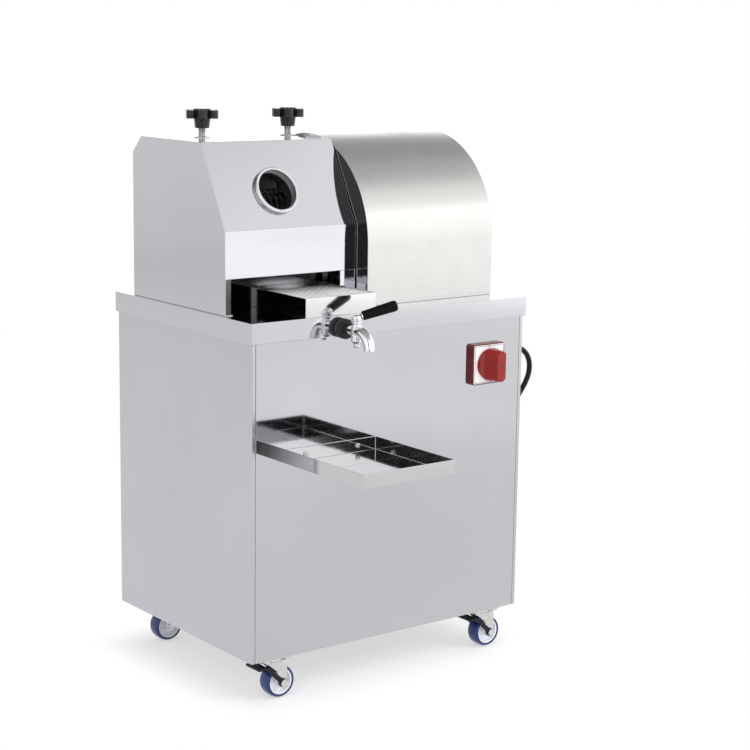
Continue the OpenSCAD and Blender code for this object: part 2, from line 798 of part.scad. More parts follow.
module gear(y, z, phase) {
    hub_d = seat_d * 1.5;
    hub_w = gear_gap_x * 0.5;
    color("dimgray") difference() {
        translate([0, y, z]) {
            along_x(gear_x0, gear_w)
                polygon([for (i = [0 : teeth - 1]) each tooth_points(phase + i * tooth_angle)]);
            rod_x(gear_x0 - hub_w, 0, 0, hub_w + over, hub_d / 2);
        }
        rod_x(gear_x0 - hub_w - over, y, z, gear_w + hub_w + 2 * over, seat_d / 2 + fit_gap);
    }
}

journal_end = plate_right_x + plate_t / 2;
gearbox_in = 14;
gearbox_x0 = from_left(cover_left) + sheet + gearbox_in;

module upper_roller() { roller(upper_y, upper_z, journal_end); }
module rear_roller() { roller(rear_roller_y, lower_z, journal_end); }
module front_roller() { roller(front_roller_y, lower_z, gearbox_x0 + gearbox_w); }
module upper_gear() { gear(upper_y, upper_z, upper_phase); }
module front_gear() { gear(front_roller_y, lower_z, mate_phase(mesh_front)); }
module rear_gear() { gear(rear_roller_y, lower_z, mate_phase(mesh_rear)); }

// Pressure screws

block_top = window_low + block_h;
hub_low = above(head_h) + screw_show;
washer_t = 1.5;
lobe_n = 6;

module pressure_screw(x) {
    color("silver") rod_z(x, upper_y, block_top, hub_low + hub_h - block_top, screw_d / 2);
}

module star_knob(x) {
    lobe_r = knob_d * 0.135;
    lobe_at = knob_d / 2 - lobe_r;
    core_r = knob_d * 0.28;
    hub_r = knob_d * 0.24;
    crown_h = lobe_h * 0.15;
    color("black") translate([x, upper_y, hub_low]) difference() {
        union() {
            cylinder(h = hub_h + over, r1 = hub_r * 0.85, r2 = hub_r);
            translate([0, 0, hub_h]) linear_extrude(lobe_h) {
                circle(core_r);
                for (i = [0 : lobe_n - 1]) rotate(i * 360 / lobe_n) {
                    translate([lobe_at, 0]) circle(lobe_r);
                    translate([0, -lobe_r]) square([lobe_at, 2 * lobe_r]);
                }
            }
            translate([0, 0, hub_h + lobe_h]) cylinder(h = crown_h, r1 = core_r, r2 = core_r * 0.8);
        }
        translate([0, 0, -over]) cylinder(h = hub_h + over, r = screw_d / 2 + fit_gap);
    }
}

module left_screw() { pressure_screw(plate_left_x); }
module left_knob() { star_knob(plate_left_x); }
module right_screw() { pressure_screw(plate_right_x); }
module right_knob() { star_knob(plate_right_x); }

module screw_washers() {
    color("silver") for (x = [plate_left_x, plate_right_x]) difference() {
        rod_z(x, upper_y, above(head_h), washer_t, washer_d / 2);
        rod_z(x, upper_y, above(head_h) - over, washer_t + 2 * over, screw_d / 2 + move_gap);
    }
}

// Drive

cover_x = from_left(cover_left);
cover_y = behind(cover_front + cover_r);
cover_wall_h = head_h + cover_over - cover_r;
motor_z = lower_z + motor_rise;
gearbox_foot_h = 10;
gearbox_foot_out = 15;
gearbox_r = 56;

module arch(r) {
    translate([cover_y, above(cover_wall_h)]) circle(r, $fn = 96);
    translate([cover_y - r, above(0)]) square([2 * r, cover_wall_h]);
}

module drive_cover() {
    hole_r = shaft_d / 2 + pass_gap;
    color("gainsboro") difference() {
        along_x(cover_x, cover_w) intersection() {
            arch(cover_r);
            translate([cover_y - cover_r, above(0)]) square(2 * cover_r + cover_wall_h);
        }
        along_x(cover_x + sheet, cover_w - 2 * sheet) {
            arch(cover_r - sheet);
            translate([cover_y - cover_r + sheet, above(-over)]) square([2 * (cover_r - sheet), 2 * over]);
        }
        rod_x(cover_x - over, front_roller_y, lower_z, sheet + 2 * over, hole_r);
    }
}

module gearbox_housing() {
    foot_d = 2 * (gearbox_r + gearbox_foot_out);
    color("steelblue") difference() {
        union() {
            along_x(gearbox_x0, gearbox_w) {
                translate([front_roller_y, lower_z]) circle(gearbox_r);
                translate([front_roller_y, motor_z]) circle(gearbox_r);
                translate([front_roller_y - gearbox_r, above(0)])
                    square([2 * gearbox_r, motor_z - above(0)]);
            }
            box([gearbox_x0, front_roller_y - foot_d / 2, above(0)], [gearbox_w, foot_d, gearbox_foot_h]);
        }
        rod_x(gearbox_x0 - over, front_roller_y, lower_z, gearbox_w + 2 * over, shaft_d / 2 + run_gap);
    }
}

module motor_body() {
    x0 = gearbox_x0 + gearbox_w;
    fin_n = 24;
    fin_h = 8;
    fin_w = 3;
    bell_len = motor_len * 0.2;
    core_r = motor_d / 2 - fin_h;
    fins_len = motor_len - 2 * bell_len;
    hub_gap = shaft_d * 0.2;
    term = [50, 60, 26];
    color("darkslategray") {
        rod_x(x0 + hub_gap, front_roller_y, motor_z, motor_len - hub_gap, core_r);
        rod_x(x0, front_roller_y, motor_z, bell_len, core_r * 0.6);
        along_x(x0 + bell_len, fins_len) translate([front_roller_y, motor_z])
            for (i = [0 : fin_n - 1]) rotate(i * 360 / fin_n)
                translate([0, -fin_w / 2]) square([motor_d / 2, fin_w]);
        rod_x(x0 + bell_len + fins_len, front_roller_y, motor_z, bell_len, motor_d / 2);
        box([x0 + bell_len, front_roller_y - term[1] / 2, motor_z + core_r], [term[0], term[1], term[2]]);
    }
}

// Juice path

juice_x = from_left(juice_in);
juice_y = front_y;
juice_d = head_back_y - juice_back - juice_y;

module juice_tray() {
    color("gainsboro") difference() {
        union() {
            box([juice_x, juice_y, above(0)], [juice_w, juice_d, juice_h]);
            rod_z(tap_axis_x, spigot_y, above(-spigot_len), spigot_len + sheet, spigot_d / 2);
        }
        box([juice_x + sheet, juice_y + sheet, above(sheet)],
            [juice_w - 2 * sheet, juice_d - 2 * sheet, juice_h]);
        rod_z(tap_axis_x, spigot_y, above(-spigot_len - over), spigot_len + sheet + 2 * over,
            spigot_d / 2 - sheet);
    }
}

spigot_len = tap_drop * 0.6;
strain_d = 116;
strain_sink = 2;
strain_up = juice_h - sheet - strain_sink;
strain_hole_d = 6;
strain_rows = 8;
strain_cols = 9;

module strainer_plate() {
    w = juice_w - 2 * sheet - 2 * move_gap;
    x0 = juice_x + sheet + move_gap;
    y0 = juice_y + sheet + move_gap;
    z0 = above(sheet);
    color("darkgray") difference() {
        box([x0, y0, z0], [w, strain_d, strain_up]);
        box([x0 + sheet, y0 - over, z0 - over],
            [w - 2 * sheet, strain_d + 2 * over, strain_up - sheet + over]);
        for (i = [1 : strain_cols], j = [1 : strain_rows])
            rod_z(x0 + w * i / (strain_cols + 1), y0 + strain_d * j / (strain_rows + 1),
                z0 + strain_up - sheet - over, sheet + 2 * over, strain_hole_d / 2);
    }
}

elbow_wall = 3;
elbow_low = tap_z - tail_d / 2 - elbow_wall - sheet;
tail_in = 12;

module outlet_elbow() {
    socket_r = spigot_d / 2 + fit_gap;
    tail_r = tail_d / 2 + fit_gap;
    pipe_y0 = panel_y + sheet + nut_t + move_gap;
    color("silver") difference() {
        union() {
            rod_z(tap_axis_x, spigot_y, elbow_low, under_z - elbow_low, socket_r + elbow_wall);
            rod_y(tap_axis_x, pipe_y0, tap_z, spigot_y - pipe_y0, tail_r + elbow_wall);
        }
        rod_z(tap_axis_x, spigot_y, elbow_low + elbow_wall, under_z - elbow_low, socket_r);
        rod_y(tap_axis_x, pipe_y0 - over, tap_z, spigot_y - pipe_y0 + over, tail_r);
    }
}

nut_across = 26;
nut_t = 6;

module tap_nut() {
    color("silver") translate([tap_axis_x, panel_y + sheet, tap_z]) rotate([-90, 0, 0]) difference() {
        cylinder(h = nut_t, d = nut_across / cos(30), $fn = 6);
        translate([0, 0, -over]) cylinder(h = nut_t + 2 * over, d = tail_d + 2 * fit_gap);
    }
}

valve_y = front_y - valve_out;
barrel_down = 18;
barrel_up = 16;
plug_d = barrel_d * 0.62;
port_r = plug_d * 0.3;
spout_wall = 3.5;
spout_drop = 2;
// Outline of the barrel as shares of its diameter and of its depth below and height above the axis
barrel_low_shares = [[0, -1.36], [0.2, -1.36], [0.31, -1.26], [0.2, -1.13], [0.34, -1], [0.5, -0.8]];
barrel_high_shares = [[0.5, 0.3], [0.4, 0.6], [0.4, 0.72], [0.48, 0.82], [0.48, 1], [0, 1]];
// Outline of the lever's cap as shares of the barrel's diameter and of the cap's height
cap_shares = [[0, 0], [0.46, 0], [0.46, 0.55], [0.4, 0.82], [0.24, 1], [0, 1]];
// Outline of the grip as shares of its diameter and of its length
grip_shares = [[0, 0], [0.4, 0], [0.42, 0.02], [0.5, 0.9], [0.47, 0.96], [0.36, 1], [0, 1]];

// Tap casting: tail, flange, neck, barrel and a spout that bends down
module tap_body() {
    flange_r = tail_d * 0.74;
    flange_t = 4;
    neck_r = tail_d * 0.48;
    ring_r = tail_d * 0.64;
    ring_t = 8;
    tail_end = panel_y + sheet + tail_in;
    bend_y = valve_y - barrel_d * 0.4;
    color("silver") difference() {
        union() {
            rod_y(tap_axis_x, front_y, tap_z, tail_end - front_y, tail_d / 2);
            rod_y(tap_axis_x, front_y - flange_t, tap_z, flange_t, flange_r);
            rod_y(tap_axis_x, valve_y, tap_z, front_y - valve_y, neck_r);
            rod_y(tap_axis_x, front_y - flange_t - ring_t, tap_z, ring_t, ring_r);
            translate([tap_axis_x, valve_y, tap_z]) rotate_extrude() polygon(concat(
                [for (s = barrel_low_shares) [s[0] * barrel_d, s[1] * barrel_down]],
                [for (s = barrel_high_shares) [s[0] * barrel_d, s[1] * barrel_up]]));
            rod_y(tap_axis_x, bend_y, tap_z, valve_y - bend_y, spout_d / 2);
            translate([tap_axis_x, bend_y, tap_z - spout_bend]) rotate([90, 0, -90])
                rotate_extrude(angle = 90) translate([spout_bend, 0]) circle(spout_d / 2, $fn = 32);
            rod_z(tap_axis_x, bend_y - spout_bend, tap_z - spout_bend - spout_drop, spout_drop, spout_d / 2);
        }
        rod_y(tap_axis_x, valve_y, tap_z, tail_end - valve_y + over, tail_d / 2 - spout_wall);
        rod_z(tap_axis_x, valve_y, tap_z - barrel_down * 0.7, barrel_down + barrel_up + over,
            plug_d / 2 + run_gap);
        rod_y(tap_axis_x, bend_y, tap_z, valve_y - bend_y, spout_d / 2 - spout_wall);
        translate([tap_axis_x, bend_y, tap_z - spout_bend]) rotate([90, 0, -90])
            rotate_extrude(angle = 90) translate([spout_bend, 0]) circle(spout_d / 2 - spout_wall, $fn = 32);
        rod_z(tap_axis_x, bend_y - spout_bend, tap_z - spout_bend - spout_drop - over, spout_drop + over,
            spout_d / 2 - spout_wall);
    }
}

// Lever: points right, a little forward and up, as it stands when the tap is shut
lever_turn = -24;
lever_rise = 16;
lever_root = 9;
cap_up = 10;
arm_r = 4.5;
module at_lever() {
    translate([tap_axis_x, valve_y, tap_z + barrel_up + cap_up / 2]) rotate([0, 0, lever_turn])
        rotate([0, 90 - lever_rise, 0]) children();
}

module tap_lever() {
    color("silver") difference() {
        union() {
            rod_z(tap_axis_x, valve_y, tap_z - barrel_down * 0.7 + move_gap,
                barrel_down * 0.7 + barrel_up + cap_up / 2, plug_d / 2);
            translate([tap_axis_x, valve_y, tap_z + barrel_up + move_gap]) rotate_extrude()
                polygon([for (s = cap_shares) [s[0] * barrel_d, s[1] * cap_up]]);
            at_lever() cylinder(h = lever_root + grip_len * 0.8, r = arm_r);
        }
        translate([tap_axis_x, valve_y, tap_z]) rotate([0, 90, 0])
            cylinder(h = 2 * barrel_d, r = port_r, center = true);
    }
}

module tap_grip() {
    color("black") at_lever() difference() {
        translate([0, 0, lever_root]) rotate_extrude()
            polygon([for (s = grip_shares) [s[0] * grip_d, s[1] * grip_len]]);
        translate([0, 0, lever_root - over]) cylinder(h = grip_len * 0.8 + over, r = arm_r + fit_gap);
    }
}

// Drip tray with a back wall that is screwed to the front panel
module drip_tray() {
    y0 = front_y - drip_reach;
    depth = panel_y - y0;
    color("gainsboro") difference() {
        box([drip_x, y0, drip_rim_z - drip_h], [drip_w, depth, drip_h]);
        box([drip_x + sheet, y0 + sheet, drip_rim_z - drip_h + sheet],
            [drip_w - 2 * sheet, depth - 2 * sheet, drip_h]);
        for (x = drip_screws)
            rod_y(x, panel_y - sheet - over, drip_screw_z, sheet + 2 * over, pan_d / 2 + fit_gap);
    }
}

// Switch

switch_plate_share = 0.94;
switch_plate_t = 1.2;
switch_bevel = 3;
switch_block = [46, 60, 46];
switch_shaft_d = 9;

module switch_base() {
    y0 = panel_y - switch_d;
    half = switch_w / 2;
    color("darkred") difference() {
        union() {
            translate([switch_axis_x, 0, switch_z]) along_y(y0, switch_d)
                polygon([[-half, -half + switch_bevel], [-half + switch_bevel, -half],
                    [half - switch_bevel, -half], [half, -half + switch_bevel],
                    [half, half - switch_bevel], [half - switch_bevel, half],
                    [-half + switch_bevel, half], [-half, half - switch_bevel]]);
            rod_y(switch_axis_x, panel_y, switch_z, sheet + over, switch_neck_d / 2);
            box([switch_axis_x - switch_block[0] / 2, panel_y + sheet, switch_z - switch_block[2] / 2],
                switch_block);
        }
        rod_y(switch_axis_x, y0 - over, switch_z, switch_d + over, switch_shaft_d / 2 + run_gap);
    }
}

module switch_plate() {
    w = switch_w * switch_plate_share;
    y0 = panel_y - switch_d - switch_plate_t;
    color("white") difference() {
        box([switch_axis_x - w / 2, y0, switch_z - w / 2], [w, switch_plate_t, w]);
        rod_y(switch_axis_x, y0 - over, switch_z, switch_plate_t + 2 * over, switch_shaft_d / 2 + move_gap);
    }
}

// Handle: round skirt with a tall grip across it that narrows to the front
module switch_knob() {
    y1 = panel_y - switch_d - switch_plate_t - move_gap;
    skirt_t = 7;
    grip_t = 24;
    grip_w = handle_d * 0.66;
    grip_h = handle_d * 1.08;
    front_shares = [0.52, 0.93];
    color("red") translate([switch_axis_x, 0, switch_z]) {
        rod_y(0, y1 - skirt_t, 0, skirt_t, handle_d / 2);
        translate([0, y1 - skirt_t + over, 0]) rotate([90, 0, 0])
            linear_extrude(grip_t + over, scale = front_shares) intersection() {
                square([grip_w, grip_h], center = true);
                circle(grip_h / 2);
            }
        rod_y(0, y1 - over, 0, switch_d * 0.8, switch_shaft_d / 2);
    }
}

// Power cord

gland_nut_across = 24;
gland_nut_t = 7;
gland_len = 24;
gland_x = right_x;
gland_tip_d = cord_d * 1.35;

// Gland: lock nut inside, hexagon outside, tapered sleeve round the cord
module cable_gland() {
    color("black") {
        translate([gland_x, entry_y, entry_z]) rotate([0, 90, 0]) {
            translate([0, 0, -sheet - gland_nut_t])
                cylinder(h = gland_nut_t, d = gland_nut_across / cos(30), $fn = 6);
            translate([0, 0, -sheet - over]) cylinder(h = sheet + 2 * over, d = gland_thread_d);
            cylinder(h = gland_nut_t, d = gland_nut_across / cos(30), $fn = 6);
            translate([0, 0, gland_nut_t - over])
                cylinder(h = gland_len - gland_nut_t + over, d1 = gland_thread_d, d2 = gland_tip_d);
        }
    }
}

// Route: the first two points follow the gland, the rest lie where they were chosen
cord_r = cord_d / 2;
lie_z = cord_r + move_gap;
gland_tip = [gland_x + gland_len, entry_y, entry_z];
cord_route = [gland_tip, gland_tip + [cord_d, 0, 0],
    [317, -45, 496], [330, -45, 485], [336, -45, 470], [335, -45, 453], [328, -44, 436],
    [318, -42, 420], [308, -38, 402], [301, -32, 380], [297, -22, 352], [294, -8, 318],
    [292, 10, 281], [291, 28, 239], [290, 46, 195], [290, 63, 151], [291, 80, 108],
    [293, 96, 70], [295, 113, 40], [297, 133, 18], [299, 156, 7], [300, 181, lie_z],
    [300, 206, lie_z], [300, 231, lie_z], [300, 256, lie_z], [300, 281, lie_z], [299, 306, lie_z],
    [296, 331, lie_z], [289, 355, lie_z], [277, 377, lie_z], [261, 396, lie_z], [241, 411, lie_z],
    [218, 422, lie_z], [193, 428, lie_z], [172, 430, lie_z], [160, 430, lie_z]];
cord_sides = 8;

function unit(v) = v / norm(v);
function heading(p, i) = let (last = len(p) - 1) unit(p[min(i + 1, last)] - p[max(i - 1, 0)]);
function carried(u, t) = unit(u - t * (u * t));
// Sideways direction at each point, carried along the route without twist
function sideways(p, start) =
    [for (i = 0, u = carried(start, heading(p, 0)); i < len(p);
        u = i + 1 < len(p) ? carried(u, heading(p, i + 1)) : u, i = i + 1) u];
function ring_points(p, start, r, n) = let (side = sideways(p, start))
    [for (i = [0 : len(p) - 1]) let (u = side[i], v = cross(heading(p, i), u))
        for (k = [0 : n - 1]) p[i] + r * (cos(360 * k / n) * u + sin(360 * k / n) * v)];
function ring_faces(rings, n) = concat(
    [for (k = [1 : n - 2]) [0, k + 1, k]],
    [for (i = [0 : rings - 2], k = [0 : n - 1]) let (a = i * n + k, b = i * n + (k + 1) % n)
        each [[a, b, b + n], [a, b + n, a + n]]],
    [for (k = [1 : n - 2]) [(rings - 1) * n, (rings - 1) * n + k, (rings - 1) * n + k + 1]]);
// Tube of n sides along the points p
module tube(p, start, r, n) {
    polyhedron(ring_points(p, start, r, n), ring_faces(len(p), n));
}

module power_cord() {
    color("black") tube(cord_route, [0, 1, 0], cord_r, cord_sides);
}

// Coil: a layer that winds in, half a turn that climbs, and a layer that winds out
coil_x = 151;
coil_y = 372;
coil_gap = 0.8;
coil_step = cord_d + coil_gap;
coil_rings = 24;
coil_sides = 6;
climb_turns = 0.5;
coil_total = 2 * coil_turns + climb_turns;
coil_start = [coil_x, coil_y + coil_r, lie_z];
// Turns wound in so far, which fall again past the middle
function winding(t) = min(t, coil_total - t);
function climb(t) = min(max((t - coil_turns) / climb_turns, 0), 1);
function coil_point(t) = let (r = coil_r - coil_step * winding(t), a = 90 + 360 * t)
    [coil_x + r * cos(a), coil_y + r * sin(a), lie_z + coil_step * climb(t)];
coil_turn_points = [for (i = [0 : coil_total * coil_rings]) coil_point(i / coil_rings)];
coil_last = coil_turn_points[len(coil_turn_points) - 1];
tail_run = 40;
coil_path = concat([cord_route[len(cord_route) - 1]], coil_turn_points,
    [coil_last + [tail_run / 2, 0, 0], coil_last + [tail_run, 0, 0]]);
coil_far = coil_rings / 2;
coil_least = min([for (i = [0 : len(coil_path) - 1], j = [0 : len(coil_path) - 1])
    if (j - i > coil_far) norm(coil_path[j] - coil_path[i])]) - cord_d;
echo(coil_least_gap = coil_least);

module cord_coil() {
    color("black") tube(coil_path, [0, 0, 1], cord_r, coil_sides);
}

// Moulded plug with two round pins, lying on the floor at the end of the tail
plug_r = coil_last[2] - move_gap;
plug_len = 34;
plug_neck = 22;
pin_len = 19;
pin_d = 4.8;
pin_apart = 19;

module plug_body() {
    at = coil_last + [tail_run, 0, 0];
    color("black") translate(at) rotate([0, 90, 0]) {
        cylinder(h = plug_neck, r1 = cord_r * 1.2, r2 = plug_r * 0.75);
        translate([0, 0, plug_neck]) cylinder(h = plug_len, r = plug_r);
        for (s = [-1, 1]) translate([0, s * pin_apart / 2, plug_neck + plug_len - over])
            cylinder(h = pin_len + over, d = pin_d);
    }
}

base_frame();
base_plate();
front_panel();
left_panel();
right_panel();
rear_panel();
worktop();
panel_screws();
frame_bolts();
caster_plates();
head_cover();
feed_collar();
stand_left_plate();
stand_right_plate();
stand_tie_rods();
lower_bushes();
screw_washers();
gearbox_housing();
motor_body();
drive_cover();
juice_tray();
strainer_plate();
outlet_elbow();
tap_body();
tap_nut();
drip_tray();
switch_base();
switch_plate();
cable_gland();
power_cord();
cord_coil();
plug_body();
upper_blocks();
upper_roller();
upper_gear();
front_roller();
front_gear();
rear_roller();
rear_gear();
left_screw();
left_knob();
right_screw();
right_knob();
tap_lever();
tap_grip();
switch_knob();
caster_fl_fork();
caster_fl_core();
caster_fl_tyre();
caster_fr_fork();
caster_fr_core();
caster_fr_tyre();
caster_bl_fork();
caster_bl_core();
caster_bl_tyre();
caster_br_fork();
caster_br_core();
caster_br_tyre();
brake_fl();
brake_fr();
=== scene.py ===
"""Looks of the electric sugarcane juicer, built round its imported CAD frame. Lengths in metres."""
import json
import math

import bmesh
import bpy
from mathutils import Matrix, Quaternion, Vector

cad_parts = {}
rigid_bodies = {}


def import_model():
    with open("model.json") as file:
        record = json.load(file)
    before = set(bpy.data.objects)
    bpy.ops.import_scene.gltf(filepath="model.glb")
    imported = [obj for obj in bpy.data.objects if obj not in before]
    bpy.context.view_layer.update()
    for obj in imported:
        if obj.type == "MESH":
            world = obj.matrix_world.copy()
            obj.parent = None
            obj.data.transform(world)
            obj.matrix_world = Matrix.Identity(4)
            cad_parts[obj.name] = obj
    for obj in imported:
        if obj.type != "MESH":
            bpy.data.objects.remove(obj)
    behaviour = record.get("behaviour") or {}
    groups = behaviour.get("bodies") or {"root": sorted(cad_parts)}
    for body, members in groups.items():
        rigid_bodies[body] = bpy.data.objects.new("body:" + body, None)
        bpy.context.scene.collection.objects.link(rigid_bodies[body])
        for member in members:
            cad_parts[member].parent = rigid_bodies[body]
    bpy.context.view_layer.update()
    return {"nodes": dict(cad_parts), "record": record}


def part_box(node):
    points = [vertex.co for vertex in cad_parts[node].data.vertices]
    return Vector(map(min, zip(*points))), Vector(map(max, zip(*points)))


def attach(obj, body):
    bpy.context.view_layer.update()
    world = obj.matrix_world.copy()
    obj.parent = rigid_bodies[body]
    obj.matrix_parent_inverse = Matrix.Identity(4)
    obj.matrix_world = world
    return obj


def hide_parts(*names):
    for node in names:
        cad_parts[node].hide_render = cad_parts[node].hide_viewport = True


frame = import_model()
MM = 0.001


# Camera at the photograph's viewing angle: place in metres, angles in radians, lens in millimetres

CAMERA_AT = Vector((-1.7466, -2.3174, 1.0234))
CAMERA_YAW = 0.6568
CAMERA_PITCH = 0.186
CAMERA_ROLL = 0.0148
CAMERA_LENS = 88.15


def make_camera():
    ahead = Vector((math.sin(CAMERA_YAW) * math.cos(CAMERA_PITCH),
                    math.cos(CAMERA_YAW) * math.cos(CAMERA_PITCH), -math.sin(CAMERA_PITCH)))
    level = Vector((math.cos(CAMERA_YAW), -math.sin(CAMERA_YAW), 0))
    up = level.cross(ahead)
    right = math.cos(CAMERA_ROLL) * level + math.sin(CAMERA_ROLL) * up
    top = -math.sin(CAMERA_ROLL) * level + math.cos(CAMERA_ROLL) * up
    data = bpy.data.cameras.new("camera")
    data.lens = CAMERA_LENS
    camera = bpy.data.objects.new("camera", data)
    turn = Matrix((right, top, -ahead)).transposed()
    camera.matrix_world = Matrix.Translation(CAMERA_AT) @ turn.to_4x4()
    bpy.context.scene.collection.objects.link(camera)
    bpy.context.scene.camera = camera


# Shader helpers

def add_node(tree, kind, values=None, **settings):
    """A node whose inputs are set to values, or linked where a value is a socket."""
    made = tree.nodes.new(kind)
    for name, value in settings.items():
        setattr(made, name, value)
    for name, value in (values or {}).items():
        if isinstance(value, bpy.types.NodeSocket):
            tree.links.new(value, made.inputs[name])
        else:
            made.inputs[name].default_value = value
    return made


def new_material(name, values):
    """A material with one Principled shader, whose constants are set on its own sockets."""
    material = bpy.data.materials.new(name)
    material.use_nodes = True
    tree = material.node_tree
    shader = tree.nodes["Principled BSDF"]
    for key, value in values.items():
        shader.inputs[key].default_value = value
    return material, tree, shader


def bare_material(name):
    """A material whose node tree is empty."""
    material = bpy.data.materials.new(name)
    material.use_nodes = True
    material.node_tree.nodes.clear()
    return material, material.node_tree


def number_math(tree, operation, one, two):
    return add_node(tree, "ShaderNodeMath", {0: one, 1: two}, operation=operation).outputs[0]


def vector_math(tree, operation, one, two):
    return add_node(tree, "ShaderNodeVectorMath", {0: one, 1: two}, operation=operation).outputs[0]


def place(tree, scale=(1, 1, 1)):
    """Object coordinates, which are metres in the shared frame, stretched by scale."""
    coordinates = add_node(tree, "ShaderNodeTexCoord")
    return add_node(tree, "ShaderNodeMapping",
                    {"Vector": coordinates.outputs["Object"], "Scale": scale}).outputs["Vector"]


def noise(tree, scale, detail=2.0, stretch=(1, 1, 1)):
    return add_node(tree, "ShaderNodeTexNoise",
                    {"Vector": place(tree, stretch), "Scale": scale, "Detail": detail}).outputs["Fac"]


def spread(tree, factor, low, high, start=0.3, end=0.7):
    """Maps a noise factor to the range from low to high."""
    return add_node(tree, "ShaderNodeMapRange",
                    {"Value": factor, "From Min": start, "From Max": end,
                     "To Min": low, "To Max": high}).outputs["Result"]


# Numbers of a Mix node's two inputs and of its output, by kind of data
MIX_SOCKETS = {"RGBA": (6, 7, 2), "FLOAT": (2, 3, 0)}


def mixed(tree, kind, factor, one, two):
    """Number or colour between one and two."""
    first, second, result = MIX_SOCKETS[kind]
    mix = add_node(tree, "ShaderNodeMix", {"Factor": factor, first: one, second: two}, data_type=kind)
    return mix.outputs[result]


def shade(colour, share):
    return tuple(c * share for c in colour)


def mottle(tree, shader, factor, colour, darkest):
    """Varies the colour by a noise factor, down to a darkest share of it."""
    tone = spread(tree, factor, low=0.0, high=1.0)
    mix = mixed(tree, "RGBA", tone, (*shade(colour, darkest), 1), (*colour, 1))
    tree.links.new(mix, shader.inputs["Base Color"])


def gloss(tree, shader, factor, rough, least, most):
    """Varies the roughness by a noise factor, between two shares of it."""
    tree.links.new(spread(tree, factor, rough * least, rough * most), shader.inputs["Roughness"])


def relief(tree, shader, height, strength, distance):
    """Bumps the surface by a noise factor."""
    bump = add_node(tree, "ShaderNodeBump", {"Height": height, "Strength": strength, "Distance": distance})
    tree.links.new(bump.outputs["Normal"], shader.inputs["Normal"])


# Materials

# Heights of the fine relief of metal, moulded skin and paint
METAL_RELIEF = 0.1 * MM
SKIN_RELIEF = 0.2 * MM
PAINT_RELIEF = 0.3 * MM
# Inside wall of the collar's bore: painted shade, a dark colour for the shade in the bore, and a duller
# gloss
BORE_PAINTED_SHADE = (0.16, 0.16, 0.165)
DULL_ROUGH = 0.42


def sheet_steel(name, colour, rough, grain, depth=0.06, metallic=1.0):
    """Polished stainless sheet with fine rolled lines, cloudy tone and faint smears."""
    material, tree, shader = new_material(name, {"Metallic": metallic, "Anisotropic": 0.3})
    lines = noise(tree, scale=1.0, detail=3.0, stretch=grain)
    cloud = noise(tree, scale=4.0)
    smear = noise(tree, scale=22.0, detail=4.0)
    mottle(tree, shader, cloud, colour, darkest=0.95)
    grainy = spread(tree, lines, low=rough * 0.7, high=rough * 1.3)
    smeared = spread(tree, smear, low=0.0, high=rough * 0.35, start=0.45, end=0.75)
    tree.links.new(number_math(tree, "ADD", grainy, smeared), shader.inputs["Roughness"])
    relief(tree, shader, lines, strength=depth, distance=METAL_RELIEF)
    return material


def masked(material, mask, colour, rough):
    """Gives the part of a surface where the mask is 1 another colour and roughness."""
    tree = material.node_tree
    shader = tree.nodes["Principled BSDF"]
    for name, kind, value in (("Base Color", "RGBA", (*colour, 1)), ("Roughness", "FLOAT", rough)):
        before = shader.inputs[name].links[0].from_socket
        tree.links.new(mixed(tree, kind, mask, before, value), shader.inputs[name])
    return material


def polished_end(material, edge, colour, rough):
    """Polishes the end of a cover that lies left of an edge."""
    tree = material.node_tree
    split = add_node(tree, "ShaderNodeSeparateXYZ", {0: place(tree)})
    return masked(material, number_math(tree, "LESS_THAN", split.outputs["X"], edge), colour, rough)


def shade_and_dull_inside(material, centre, axis, radius):
    """Dulls a tube's inner wall, which lies nearer to the axis than the radius, and darkens it with painted
    shade.
    """
    tree = material.node_tree
    offset = vector_math(tree, "SUBTRACT", place(tree), centre)
    across = vector_math(tree, "CROSS_PRODUCT", offset, axis)
    away = add_node(tree, "ShaderNodeVectorMath", {0: across}, operation="LENGTH").outputs["Value"]
    return masked(material, number_math(tree, "LESS_THAN", away, radius), BORE_PAINTED_SHADE, DULL_ROUGH)


def plated_steel(name, colour, rough):
    """Zinc plate or turned steel: mottled, with a fine grain."""
    material, tree, shader = new_material(name, {"Metallic": 1.0})
    spots = noise(tree, scale=160.0, detail=3.0)
    fine = noise(tree, scale=900.0)
    mottle(tree, shader, spots, colour, darkest=0.82)
    gloss(tree, shader, spots, rough, least=0.8, most=1.3)
    relief(tree, shader, fine, strength=0.08, distance=METAL_RELIEF)
    return material


def turned_steel(name, colour, rough):
    """Turned rollers: rings round the X axis, and stains."""
    material, tree, shader = new_material(name, {"Metallic": 1.0})
    rings = noise(tree, scale=1.0, stretch=(2600, 4, 4))
    stain = noise(tree, scale=35.0, detail=3.0)
    mottle(tree, shader, stain, colour, darkest=0.8)
    gloss(tree, shader, rings, rough, least=0.7, most=1.4)
    relief(tree, shader, rings, strength=0.15, distance=METAL_RELIEF)
    return material


def chrome(name, colour, rough):
    """Bright plating with faint water marks."""
    material, tree, shader = new_material(name, {"Metallic": 1.0})
    marks = noise(tree, scale=120.0, detail=4.0)
    mottle(tree, shader, marks, colour, darkest=0.93)
    gloss(tree, shader, marks, rough, least=0.6, most=1.8)
    return material


def plastic(name, colour, rough, coat=0.0, grain=700.0, depth=0.06, specular=0.5):
    """Moulded plastic or rubber with a fine skin and a slightly uneven gloss."""
    material, tree, shader = new_material(name, {"Coat Weight": coat, "Coat Roughness": 0.12,
                                                 "Specular IOR Level": specular})
    skin = noise(tree, scale=grain, detail=3.0)
    patch = noise(tree, scale=45.0, detail=3.0)
    mottle(tree, shader, patch, colour, darkest=0.85)
    gloss(tree, shader, patch, rough, least=0.85, most=1.25)
    relief(tree, shader, skin, strength=depth, distance=SKIN_RELIEF)
    return material


